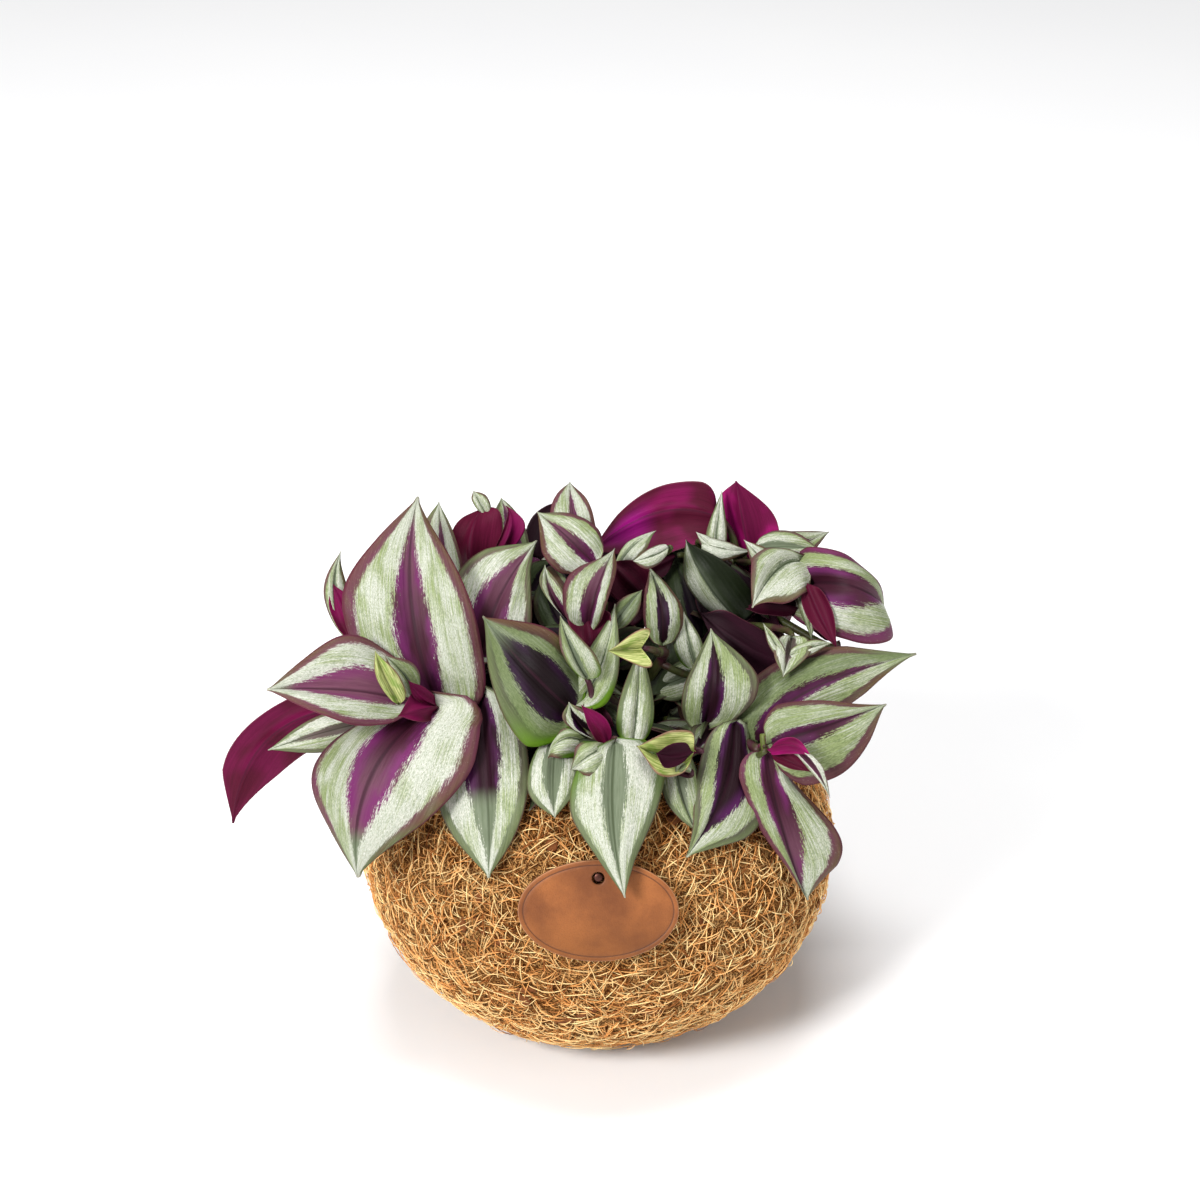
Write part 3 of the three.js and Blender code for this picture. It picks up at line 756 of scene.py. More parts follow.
def strands(count, low, high, length, radius, lift, curl):
    """Fibres that wander over the pot. Returns points, faces and a shade for each point."""
    steps, sides = FIBRE_STEPS, FIBRE_SIDES
    along = rng.uniform(0, 1, count)
    places = np.linspace(low, high, 400)
    weight = outline_at(places)[0]
    here = np.interp(along, np.cumsum(weight) / weight.sum(), places)
    turn = rng.uniform(0, 2 * math.pi, count)
    heading = rng.uniform(0, 2 * math.pi, count)
    bend = rng.normal(0, curl, count)
    stride = rng.uniform(*length, count) / (steps - 1)
    top = rng.uniform(*lift, count)
    track_place, track_turn = [here], [turn]
    for _ in range(steps - 1):
        heading = heading + bend + rng.normal(0, curl * 0.8, count)
        radius_here = np.maximum(outline_at(here)[0], FIBRE_LEAST_TURN_RADIUS)
        here = np.clip(here + stride * np.cos(heading), low, high)
        turn = turn + stride * np.sin(heading) / radius_here
        track_place.append(here)
        track_turn.append(turn)
    place_along, angle = np.array(track_place).T, np.array(track_turn).T
    share = np.linspace(0, 1, steps)
    arch = np.sin(math.pi * share) ** 0.5
    raised = lumps(angle, place_along) + top[:, None] - FIBRE_END_DIP * (1 - arch)
    centre, outward = on_pot(place_along, angle, raised)
    ahead = unit(np.gradient(centre, axis=1))
    side = unit(np.cross(ahead, outward))
    other = np.cross(side, ahead)
    taper = 0.35 + 0.65 * np.sin(math.pi * np.clip(share, 0.06, 0.94)) ** 0.5
    thick = rng.uniform(*radius, count)[:, None] * taper
    spin = (full_turn(sides) + math.pi / 2)[:, None]
    ring = side[:, :, None, :] * np.cos(spin) + other[:, :, None, :] * np.sin(spin)
    points = centre[:, :, None, :] + ring * thick[:, :, None, None]
    points[..., 2] = np.maximum(points[..., 2], FIBRE_LOWEST)
    first = (np.arange(count) * steps * sides)[:, None, None]
    faces = [(part[None] + first).reshape(-1, part.shape[1]) for part in closed_faces(steps, sides)]
    shade = rng.beta(2.4, 2.0, count)
    return points, faces, np.repeat(shade, steps * sides)


def make_fibres():
    finish = fibre_finish()
    for name, count, low, past_end, length, radius, lift, curl in FIBRES:
        points, faces, shade = strands(count, low, OUTLINE_LENGTH + past_end, length, radius, lift, curl)
        batch = Batch()
        batch.add(points, faces, shade=shade)
        batch.make(name, [finish], "coir")


def make_husk():
    """Flat irregular chips pressed into the fibre."""
    batch = Batch()
    sides = 9
    angle = full_turn(sides)
    rings = ((0.8, -0.35), (1.0, 0.0), (0.75, 0.3))
    for _ in range(HUSK_CHIPS):
        here = rng.uniform(HUSK_FIRST_PLACE, OUTLINE_LENGTH - HUSK_END_GAP)
        turn = rng.uniform(0, 2 * math.pi)
        centre, outward = on_pot(here, turn, rng.uniform(*HUSK_LIFT))
        first = unit(np.cross(outward, rng.normal(size=3)))
        second = np.cross(outward, first)
        size = rng.uniform(*HUSK_SIZE)
        stretch = rng.uniform(*HUSK_STRETCH)
        ragged = rng.uniform(0.65, 1.15, sides) * size
        points = []
        for scale, level in rings:
            flat = first * (np.cos(angle) * stretch * scale * ragged)[:, None]
            flat = flat + second * (np.sin(angle) * scale * ragged)[:, None]
            points.append(centre + flat + outward * (level + rng.normal(0, 0.06, sides))[:, None])
        batch.add(points, closed_faces(len(rings), sides))
    batch.make("husk_chips", [husk_finish()], "coir")


# The nursery pot and its soil


def cavity_radius(height):
    """The radius of the coir pot's cavity at a height."""
    share = (height - CAVITY_FLOOR_HEIGHT) / (LIP_HEIGHT - LIP_ROUNDING - CAVITY_FLOOR_HEIGHT)
    return CAVITY_FLOOR_RADIUS + (MOUTH_RADIUS - CAVITY_FLOOR_RADIUS) * share


def make_grow_pot():
    """A flared cup with a rounded foot, a step below its rim and a rolled rim."""
    floor, top, wall = CAVITY_FLOOR_HEIGHT + FIT_GAP, GROW_POT_TOP, GROW_POT_WALL
    middle, corner, roll, roll_height = 0.3, 0.6, 0.6, 0.7

    def outer(height):
        return cavity_radius(height) - FIT_GAP

    foot = outer(floor)
    profile = [(middle, floor), (foot - 2, floor), (foot - corner, floor + corner)]
    profile.append((outer(floor + 2), floor + 2))
    profile += [(outer(height), height) for height in np.linspace(floor + 6, top - 6, 12)]
    profile += [(outer(top - 5) - 0.1, top - 5), (outer(top - 4) + 0.15, top - 4.4)]
    profile.append((outer(top - 1), top - 1))
    for angle in np.linspace(0, math.pi, 9):
        rim_height = top - roll_height + roll_height * math.sin(angle)
        profile.append((outer(top) - roll + roll * math.cos(angle), rim_height))
    profile += [(outer(height) - wall, height) for height in np.linspace(top - 3, floor + 3, 12)]
    profile += [(foot - wall - 2, floor + wall), (middle, floor + wall)]
    batch = Batch()
    batch.add(*lathe(profile, 128))
    batch.make("nursery_pot", [plastic_finish()], "nursery_plastic", ["grow_pot"])


def make_soil():
    """The soil's crowned fill, rough on top, and the crumbs on it."""
    floor = CAVITY_FLOOR_HEIGHT + 2 * FIT_GAP + GROW_POT_WALL
    edge = cavity_radius(SOIL_TOP - 3) - 2 * FIT_GAP - GROW_POT_WALL - 0.4
    profile = [(0.4, floor), (cavity_radius(floor) - 4, floor)]
    profile += [(cavity_radius(height) - 2.6, height) for height in np.linspace(floor + 4, SOIL_TOP - 4, 6)]
    wall_rows = len(profile)
    profile += [(edge * share, SOIL_TOP - SOIL_CROWN * share**2) for share in np.linspace(1, 0.01, 26)]
    points, faces = lathe(profile, 96)
    top = points[wall_rows:]
    radius = np.hypot(top[..., 0], top[..., 1])
    smoothing = np.clip(radius / 6, 0, 1) * np.clip((edge - radius) / 2, 0, 1)
    top[..., 2] += rng.normal(0, SOIL_ROUGHNESS, radius.shape) * smoothing - 0.3
    batch = Batch()
    batch.add(points, faces)
    batch.make("soil_fill", [soil_finish()], "potting_soil", ["soil"])
    crumbs = Batch()
    for _ in range(SOIL_CRUMBS):
        radius, angle = edge * math.sqrt(rng.uniform(0, 0.92)), rng.uniform(0, 2 * math.pi)
        centre = around(radius, angle, SOIL_TOP - SOIL_CROWN * (radius / edge) ** 2)
        add_crumb(crumbs, centre, rng.uniform(*CRUMB_SIZE), rng.uniform(0.5, 1.0))
    crumbs.make("soil_crumbs", [soil_finish()], "potting_soil")


def add_crumb(batch, centre, size, flatness):
    """A rough rounded lump: a coarse ball with every point moved a little."""
    rings, sides, pole_gap = 5, 8, 0.12
    rise = np.linspace(pole_gap, math.pi - pole_gap, rings)[:, None]
    points = around(np.sin(rise), full_turn(sides), -np.cos(rise) * flatness)
    points = points * size * rng.uniform(0.72, 1.2, (rings, sides, 1)) + centre
    batch.add(points, closed_faces(rings, sides))


# The tag


def to_tag(points):
    """From the tag's own frame, X across, Y up its face and Z out of it, to the part's."""
    reach = ball_radius(TAG_CENTRE_HEIGHT) + TAG_STAND_OFF
    turn = math.pi / 2 - TAG_LEAN
    x, y, z = points[..., 0], points[..., 1], points[..., 2]
    forward = -reach + y * math.cos(turn) - z * math.sin(turn)
    return np.stack([x, forward, TAG_CENTRE_HEIGHT + y * math.sin(turn) + z * math.cos(turn)], axis=-1)


def make_tag():
    """The oval tag, as rings about its hole: up the edge, over the face, through the hole, along the back."""
    segments = 144
    angle = full_turn(segments)
    ray = np.stack([np.cos(angle), np.sin(angle)], axis=-1)
    hole = np.array([0, TAG_HOLE_Y])
    face = TAG_THICKNESS
    plain = 4.0
    rings = []

    def oval(inset):
        """Where rays from the hole's middle meet an oval inside the outline."""
        a, b = TAG_WIDTH / 2 - inset, TAG_HEIGHT / 2 - inset
        qa = (ray[:, 0] / a) ** 2 + (ray[:, 1] / b) ** 2
        qb = 2 * TAG_HOLE_Y * ray[:, 1] / b**2
        qc = TAG_HOLE_Y**2 / b**2 - 1
        return hole + ray * ((-qb + np.sqrt(qb**2 - 4 * qa * qc)) / (2 * qa))[:, None]

    def bore(extra):
        return hole + ray * (TAG_HOLE_RADIUS + extra)

    def ring(flat, level, inset=plain, cut=0.0):
        rings.append((flat, level, inset, cut))

    def spread(start, end, steps, level):
        for share in np.linspace(0, 1, steps)[1:]:
            ring(start + (end - start) * share, level)

    for inset, share in ((0, 0.35), (0, 0.65), (0.1, 0.85), (0.3, 0.97), (0.6, 1)):
        ring(oval(inset), face * share, inset, cut=float(inset == 0))
    for inset, depth in ((1.2, 0), (1.38, 0.1), (1.55, 0.18), (1.72, 0.1), (1.9, 0), (3, 0)):
        ring(oval(inset), face - depth, inset)
    spread(oval(3), bore(0.45), 16, face)
    ring(bore(0.12), face - 0.08)
    ring(bore(0), face - 0.3, cut=1.0)
    ring(bore(0), 0.2, cut=1.0)
    ring(bore(0.2), 0)
    spread(bore(0.2), oval(0.5), 12, 0)
    ring(oval(0.15), face * 0.15, 0.1)

    flats, levels, insets, cuts = zip(*rings)
    flat = np.array(flats)
    warp = TAG_WARP * np.sin(flat[..., 0] * 0.11 + 0.6) * np.cos(flat[..., 1] * 0.13)
    points = np.concatenate([flat, (np.array(levels)[:, None] + warp)[..., None]], axis=-1)
    faces = grid_faces(len(rings) + 1, segments, closed=True) % (len(rings) * segments)
    batch = Batch()
    batch.add(to_tag(points), [faces], inset=np.repeat(insets, segments), cut=np.repeat(cuts, segments))
    batch.make("oval_tag", [leather_finish()], "tag_leather", ["tag"])

    # The pin's shank and its domed head.
    profile = [(0.05, -1.4), (0.4, -1.2), (0.75, -0.9), (0.75, 0.25), (1.1, 0.28), (1.35, 0.4), (1.4, 0.52)]
    profile += [(1.32, 0.68), (1.0, 0.82), (0.5, 0.9), (0.05, 0.92)]
    points, faces = lathe(profile, 28)
    points[..., 1] += TAG_HOLE_Y
    pin = Batch()
    pin.add(to_tag(points), faces)
    pin.make("wire_pin", [wire_finish()], "pin_wire", ["tag_pin"])


# The shape of a leaf


def leaf_profile(along):
    """Relative half width along a leaf: round at the base, drawn out to a point."""
    below = np.maximum(1 - (np.maximum(LEAF_WIDEST - along, 0) / LEAF_WIDEST) ** 3, 0) ** 0.42
    share = np.clip((along - LEAF_WIDEST) / (1 - LEAF_WIDEST), 0, 1)
    above = np.maximum(np.cos(math.pi / 2 * share), 0) ** LEAF_TAPER
    return np.where(along < LEAF_WIDEST, below, above)


def midrib(leaf, along):
    """A curve through the leaf's base, mid and tip."""
    t = np.asarray(along, dtype=float)[..., None]
    near, far = (1 - t) * (1 - 2 * t), t * (2 * t - 1)
    return leaf["base"] * near + leaf["mid"] * 4 * t * (1 - t) + leaf["tip"] * far


def side_reach(leaf, side, along):
    """The full half-width vector of one side, left or right, at each place along the leaf."""
    points = leaf[side]
    spots = (MARGIN_LOW, MARGIN_HIGH) if len(points) > 1 else (LEAF_WIDEST,)
    reach = [(point - midrib(leaf, spot)) / leaf_profile(spot) for point, spot in zip(points, spots)]
    share = np.clip((along - MARGIN_LOW) / (MARGIN_HIGH - MARGIN_LOW), -0.3, 1.3)[:, None]
    return reach[0] + (reach[-1] - reach[0]) * share


# What a leaf looks like. The looks of each leaf below replace some of these.
LOOK = dict(
    violet=0.5,  # how purple the middle is
    mauve=0.5,  # how mauve the margin is, and above 1 how magenta
    silver=0.7,  # how frosted the bands are
    stripe=0.28,  # half width of the middle stripe, as a share of the leaf's
    reach=1.0,  # where along the leaf the stripe ends
    margin=0.79,  # where across the leaf the margin starts
    dark=0.25,  # how dark the middle is; on the under side, how much painted shade darkens it
    vivid=0.0,  # how fresh a green the foot is; on the under side, how much painted light brightens it to magenta
    flush=1.05,  # where along the leaf the plum turns green, or a magenta spot of the under side
    dim=0.0,  # how much painted shade darkens it, as if deep in the shade of the others
    lopsided=0.0,  # how much more silver the right half has than the left, and how much less painted shade
    olive=0.0,  # how much more mauve the right half has than the left
    bulge=1.1,  # how much each half is crowned, in millimetres
    ripple=0.8,  # how wavy the margin is, in millimetres
    waves=1.7,  # how many waves the margin has
)


def add_leaf(batch, leaf, look, young=False, grid=FINE_GRID):
    """One leaf blade, closed, with its upper and under sides in two materials."""
    look = {**LOOK, **look}
    columns, rows = grid
    across = np.linspace(-1, 1, columns)
    across = (np.sign(across) * np.abs(across) ** 0.9)[None, :]
    places = np.linspace(0, 1, rows)
    along = places[:, None]
    width = np.maximum(leaf_profile(along), LEAF_LEAST_WIDTH)
    left, right = side_reach(leaf, "left", places), side_reach(leaf, "right", places)
    ahead = midrib(leaf, np.minimum(places + 0.02, 1)) - midrib(leaf, np.maximum(places - 0.02, 0))
    normal = unit(np.cross(right - left, ahead))[:, None, :]
    half_width = 0.5 * np.linalg.norm(right[rows // 3] - left[rows // 3])
    length = np.linalg.norm(leaf["tip"] - leaf["base"])
    size = min(1.0, half_width / LEAF_FULL_HALF_WIDTH)
    reach = np.abs(across)
    half = np.tanh(across * 6)

    # The lift of the surface off the flat blade, in millimetres.
    phase = rng.uniform(0, 2 * math.pi, 4)
    crown = (LEAF_CROWN + look["bulge"] * size) * np.sin(math.pi * reach**0.8) * width
    groove = -LEAF_GROOVE * size * np.exp(-((reach * half_width / 1.3) ** 2))
    veins = 0.08 * np.sin(across * half_width * 2.1 + phase[0])
    veins = veins + 0.22 * np.sin(across * half_width * 0.85 + phase[3] + along)
    veins = veins * size * np.sin(math.pi * along)
    turns = 2 * math.pi * (look["waves"] * along + 0.2 * np.sign(across)) + phase[1]
    ripple = look["ripple"] * size * reach**3 * np.sin(turns)
    sag = 0.3 * size * np.sin(2 * math.pi * along * 1.3 + phase[2]) * (1 - reach)
    ends = np.sin(math.pi * np.clip(along, 0.02, 0.98)) ** 0.5
    clasp = half_width * LEAF_CLASP * np.clip(1 - along / 0.16, 0, 1) ** 2 * reach**1.5
    lift = crown + (groove + veins + ripple + sag) * ends + clasp

    # The two sides, and the thicker midrib below.
    side = np.where(across[..., None] < 0, left[:, None, :], right[:, None, :])
    middle = midrib(leaf, places)[:, None, :] + side * (width * reach)[..., None] + normal * lift[..., None]
    thick = LEAF_THICKNESS * (0.35 + 0.65 * size) * (1 - 0.62 * reach**4)
    rib = LEAF_RIB * size * np.exp(-((reach * half_width) ** 2)) * (1 - 0.8 * along)
    upper = middle + normal * (thick / 2)[..., None]
    under = middle - normal * (thick / 2 + rib)[..., None]
    faces = grid_faces(rows, columns)
    back = faces[:, ::-1] + rows * columns
    edge = np.concatenate([
        np.arange(columns),
        np.arange(1, rows) * columns + columns - 1,
        (rows - 1) * columns + np.arange(columns - 2, -1, -1),
        np.arange(rows - 2, 0, -1) * columns,
    ])
    following = np.roll(edge, -1)
    rim = np.stack([following, edge, edge + rows * columns, following + rows * columns], axis=1)

    # Where the bands begin and end, and what the materials read.
    past = np.clip((along - 0.3) / (look["reach"] - 0.3), 0, 1)
    inner = look["stripe"] * (0.8 + 0.2 * np.clip(along / 0.3, 0, 1)) * (1 - 0.95 * past**1.35)
    outer = look["margin"] + 0.09 * (1 - along) - 0.16 * np.clip((along - 0.5) / 0.4, 0, 1)
    tilt = rng.uniform(-0.03, 0.03)
    blade = (across * half_width * (0.45 + 0.55 * width), along * length, rng.uniform(0, 400))
    silver = np.clip(look["silver"] + look["lopsided"] * half, 0, 1)

    def both(*parts):
        """Values of the grid, as one number or as a vector, for the points of both sides."""
        block = np.stack([np.broadcast_to(part, (rows, columns)).ravel() for part in parts], axis=-1)
        return np.concatenate([block if len(parts) > 1 else block[:, 0]] * 2)

    values = dict(
        across=both(across),
        along=both(along),
        from_middle=both(reach - inner),
        from_margin=both(outer - reach + tilt * np.sign(across)),
        flush=look["flush"],
        blade=both(*blade),
        tint=both(look["violet"], look["mauve"] + look["olive"] * half, silver),
        tone=(look["dark"], look["vivid"], rng.uniform(-0.35, 0.35)),
        # dim is painted shade, lessened on the half that lopsided makes more silver.
        dim=both(look["dim"] * (1 - 0.6 * look["lopsided"] * half)),
    )
    upper_kind, under_kind = 2 if young else 0, 1
    kind = np.repeat([upper_kind, under_kind], [len(faces), len(back) + len(rim)])
    batch.add([upper, under], [np.concatenate([faces, back, rim])], kind=kind, **values)


# The foot of these leaves is clasped by a sheath that shows.
CLASPED = ("a1", "d1", "b1", "l1", "t1", "u1", "c1", "c2", "c3", "c4", "c5")


def shown(name="", side="upper", stalk=True, *, base, mid, tip, left, right, **look):
    """A leaf read from the photo, the side of it that shows, and its look.

    A spot is (pixel x, pixel y, depth). base, mid and tip lie on the midrib. left and right are spots of the
    two margins: one at the widest place, or a list of two, at 0.3 and 0.65 of the length. A leaf without a
    stalk isn't joined to a stem.
    """
    base, mid, tip = place(base), place(mid), place(tip)
    left, right = ([place(spot) for spot in np.reshape(part, (-1, 3))] for part in (left, right))
    facing = np.cross(right[0] - left[0], tip - base) @ TO_VIEWER
    if (facing > 0) != (side != "under"):
        left, right = right, left
    return dict(name=name, side=side, stalk=stalk, look=look, base=base, mid=mid, tip=tip,
                left=left, right=right, hidden_foot=name not in CLASPED)


def shaded(dark=1.0, dim=0.5, **spots_and_look):
    """A leaf deep among the others that shows its under side, darkened with painted shade."""
    return shown(side="under", dark=dark, dim=dim, **spots_and_look)


def leaf_from_growth(base, heading, rise, droop, length, width, roll):
    """A leaf from its sizes: an arched midrib and a blade turned about it. Angles are in degrees."""
    heading, roll = math.radians(heading), math.radians(roll)

    def direction(slope):
        slope = math.radians(slope)
        return around(math.cos(slope), heading, math.sin(slope))

    base = np.array(base, dtype=float)
    mid = base + direction(rise - droop * 0.25) * length / 2
    tip = mid + direction(rise - droop * 0.8) * length / 2
    chord = unit(tip - base)
    flat = np.array([math.sin(heading), -math.cos(heading), 0])
    across = flat * math.cos(roll) + np.cross(chord, flat) * math.sin(roll)
    across = across + chord * (chord @ flat) * (1 - math.cos(roll))
    fold = np.cross(across, chord) * width * LEAF_FOLD
    leaf = dict(base=base, mid=mid, tip=tip, hidden_foot=False)
    widest = midrib(leaf, LEAF_WIDEST) + fold
    half = across * width / 2
    return {**leaf, "left": [widest - half], "right": [widest + half]}


# The leaves that the photo shows clearly.
SEEN_LEAVES = [
    shown("a1", base=(438, 706, 52), mid=(411, 600, 54), tip=(418, 497, 38),
          left=[(346, 625, 54), (357, 562, 52)], right=[(483, 655, 57), (458, 572, 52)],
          violet=0.8, mauve=0.9, silver=0.75, stripe=0.3),
    shown("a2", base=(410, 702, 60), mid=(340, 690, 70), tip=(267, 690, 76),
          left=[(362, 638, 62), (318, 647, 70)], right=[(366, 725, 76), (322, 716, 82)],
          violet=0.55, mauve=0.95, silver=1.0, stripe=0.4, dark=-0.1),
    shown("a3", base=(432, 710, 58), mid=(368, 782, 66), tip=(358, 877, 54),
          left=[(326, 748, 56), (317, 805, 56)], right=[(478, 742, 66), (445, 804, 68)],
          violet=1.0, mauve=0.75, silver=0.95, stripe=0.37, margin=0.84, dark=0.14, flush=0.92,
          lopsided=-0.05),
    shown("a4", base=(380, 706, 48), mid=(275, 733, 38), tip=(233, 823, 24),
          left=[(303, 692, 42), (229, 750, 30)], right=[(318, 748, 40), (290, 765, 34)],
          side="under", violet=0.6, mauve=0.8, vivid=0.2),
    shown("a6", base=(456, 640, 30), mid=(444, 562, 30), tip=(439, 502, 20),
          left=(420, 560, 30), right=(464, 572, 29), violet=0.4, mauve=0.6, silver=0.9, stripe=0.25),
    shown("d1", base=(478, 690, 52), mid=(487, 790, 66), tip=(489, 878, 70),
          left=[(436, 758, 59), (445, 824, 60)], right=[(528, 755, 64), (521, 822, 70)],
          violet=0.8, mauve=0.1, silver=0.95, stripe=0.4, dark=0.75, flush=0.68),
    shown("d2", base=(557, 735, 64), mid=(553, 780, 70), tip=(555, 818, 73),
          left=(527, 782, 70), right=(578, 778, 71), violet=0.0, mauve=0.0, silver=0.95, stripe=0.42,
          vivid=0.3),
    shown("b1", base=(571, 710, 64), mid=(527, 668, 71), tip=(483, 617, 58),
          left=[(515, 733, 72), (489, 672, 68)], right=[(566, 645, 62), (530, 622, 62)],
          violet=0.3, mauve=0.55, olive=0.5, silver=0.2, stripe=0.5, dark=1.0, vivid=1.2, margin=0.7,
          dim=0.06),
    shown("b2", base=(615, 742, 72), mid=(613, 820, 80), tip=(625, 898, 84),
          left=[(570, 795, 77), (583, 838, 80)], right=[(664, 783, 73), (643, 843, 80)],
          violet=0.05, mauve=0.15, silver=1.0, stripe=0.27, vivid=0.8),
    shown("b3", base=(586, 677, 66), mid=(571, 650, 68), tip=(560, 616, 64),
          left=(563, 655, 71), right=(597, 658, 69), violet=0.0, mauve=0.7, silver=0.45, stripe=0.2,
          vivid=0.8, dim=0.12),
    shown("b5", base=(697, 752, 66), mid=(667, 756, 67), tip=(637, 746, 77),
          left=(676, 730, 76), right=(668, 777, 79), side="young", bulge=1.6),
    shown("v1", base=(633, 742, 66), mid=(637, 700, 64), tip=(640, 645, 60),
          left=(617, 712, 66), right=(654, 712, 62), violet=0.0, mauve=0.1, silver=0.8, stripe=0.03,
          vivid=1.0, margin=0.72),
    shown("u1", base=(590, 625, 54), mid=(597, 590, 59), tip=(615, 549, 46),
          left=[(562, 600, 56), (574, 572, 52)], right=[(606, 607, 60), (616, 570, 55)],
          violet=0.4, mauve=0.95, stripe=0.36, ripple=1.4, dim=0.1),
    shown("u3", base=(641, 648, 62), mid=(626, 649, 64), tip=(608, 651, 70),
          left=(645, 628, 67), right=(647, 668, 67), side="young", dim=0.1),
    shown("w1", base=(737, 618, 28), mid=(706, 582, 35), tip=(686, 540, 24),
          left=(692, 594, 32), right=(742, 578, 28), violet=0.1, mauve=0.3, silver=0.35, stripe=0.1,
          dark=1.0, dim=0.72, lopsided=-0.6, margin=0.9),
    shown("w2", base=(662, 642, 46), mid=(661, 605, 51), tip=(649, 567, 39),
          left=(643, 612, 50), right=(683, 612, 48), violet=0.3, mauve=0.8, silver=0.5, stripe=0.32,
          dark=0.9, dim=0.14),
    shown("w3", base=(697, 668, 42), mid=(689, 640, 44), tip=(684, 612, 42),
          left=(674, 648, 44), right=(703, 645, 44), violet=0.0, mauve=0.2, silver=0.75, stripe=0.15,
          vivid=1.0, dim=0.1),
    shown("m1", base=(480, 612, 20), mid=(469, 548, 28), tip=(485, 507, 12),
          left=[(448, 562, 22), (457, 523, 23)], right=[(500, 550, 20), (501, 514, 18)],
          side="under", dark=0.1),
    shown("m2", base=(520, 590, 22), mid=(511, 535, 16), tip=(501, 498, 8),
          left=(494, 536, 16), right=(528, 538, 14), violet=0.9, mauve=0.3, silver=0.3, stripe=0.5),
    shown("l1", base=(480, 655, 42), mid=(500, 597, 45), tip=(537, 541, 30),
          left=[(447, 610, 40), (470, 558, 36)], right=[(530, 635, 46), (531, 585, 42)],
          violet=0.8, mauve=0.3, silver=0.85, stripe=0.42),
    shown("t1", base=(594, 564, 34), mid=(570, 540, 34), tip=(537, 512, 24),
          left=(549, 564, 38), right=(591, 522, 30), mauve=0.8, silver=0.8, stripe=0.25),
    shown("t2", base=(586, 572, 26), mid=(574, 520, 21), tip=(570, 482, 10),
          left=(551, 522, 21), right=(594, 518, 21), mauve=0.9, silver=0.9, stripe=0.25),
    shown("m3", base=(716, 517, 6), mid=(655, 514, 8), tip=(590, 553, 12),
          left=[(686, 481, 4), (630, 503, 6)], right=[(684, 548, 12), (640, 557, 12)],
          side="under", vivid=0.6, ripple=0.3, flush=0.72),
    shown("m4", base=(756, 590, 2), mid=(744, 528, 8), tip=(736, 481, 8),
          left=[(721, 538, 3), (718, 500, 5)], right=[(780, 540, 5), (768, 507, 6)],
          side="under", vivid=1.25, ripple=0.3),
    shown("r1", base=(795, 585, 12), mid=(854, 586, 33), tip=(884, 610, 8),
          left=[(824, 548, 22), (869, 570, 22)], right=[(834, 636, 32), (888, 641, 24)],
          violet=1.0, mauve=1.7, silver=0.6, stripe=0.44, ripple=1.0, dark=0.35),
    shown("r3", base=(800, 562, 18), mid=(776, 571, 26), tip=(752, 608, 36),
          left=(757, 552, 27), right=(800, 597, 32), violet=0.0, mauve=0.8, silver=0.9, stripe=0.08,
          ripple=1.6, bulge=1.6),
    shown("r4", base=(762, 558, 15), mid=(794, 547, 12), tip=(829, 532, 3),
          left=(784, 533, 8), right=(800, 560, 15), violet=0.3, mauve=0.8, stripe=0.2),
    shown("r5", base=(792, 639, 43), mid=(788, 657, 48), tip=(783, 677, 54),
          left=(774, 647, 50), right=(811, 651, 50), violet=0.2, silver=0.75, stripe=0.25),
    shown("c1", base=(760, 742, 48), mid=(805, 693, 52), tip=(916, 654, 40),
          left=[(740, 690, 46), (820, 648, 43)], right=[(804, 722, 50), (850, 704, 48)],
          violet=0.6, mauve=0.7, silver=0.3, stripe=0.24, ripple=1.5, dark=0.5, lopsided=0.1),
    shown("c2", base=(772, 743, 58), mid=(822, 727, 62), tip=(886, 704, 58),
          left=[(790, 702, 58), (842, 702, 60)], right=[(820, 783, 60), (862, 754, 60)],
          mauve=0.8, silver=0.35, stripe=0.22, dark=0.4, dim=0.08),
    shown("c3", base=(766, 750, 60), mid=(782, 830, 56), tip=(807, 900, 46),
          left=[(744, 795, 61), (777, 853, 57)], right=[(808, 797, 54), (842, 852, 48)],
          violet=0.9, mauve=0.85, silver=0.42, stripe=0.38, ripple=2.2, waves=1.4),
    shown("c4", base=(734, 723, 52), mid=(724, 790, 63), tip=(686, 857, 73),
          left=[(700, 762, 61), (693, 812, 69)], right=[(760, 770, 50), (758, 828, 60)],
          violet=0.95, mauve=0.2, silver=0.4, stripe=0.58, dark=0.85, reach=0.85),
    shown("c5", base=(705, 722, 46), mid=(714, 678, 54), tip=(711, 629, 45),
          left=[(682, 700, 52), (692, 666, 51)], right=[(758, 690, 58), (746, 660, 55)],
          violet=0.7, mauve=0.3, silver=0.45, stripe=0.3, dark=0.8, dim=0.08),
    shown("c6", base=(674, 745, 60), mid=(681, 792, 67), tip=(697, 832, 69),
          left=(663, 792, 68), right=(702, 790, 63), violet=0.1, mauve=0.1, silver=0.4, stripe=0.25),
]
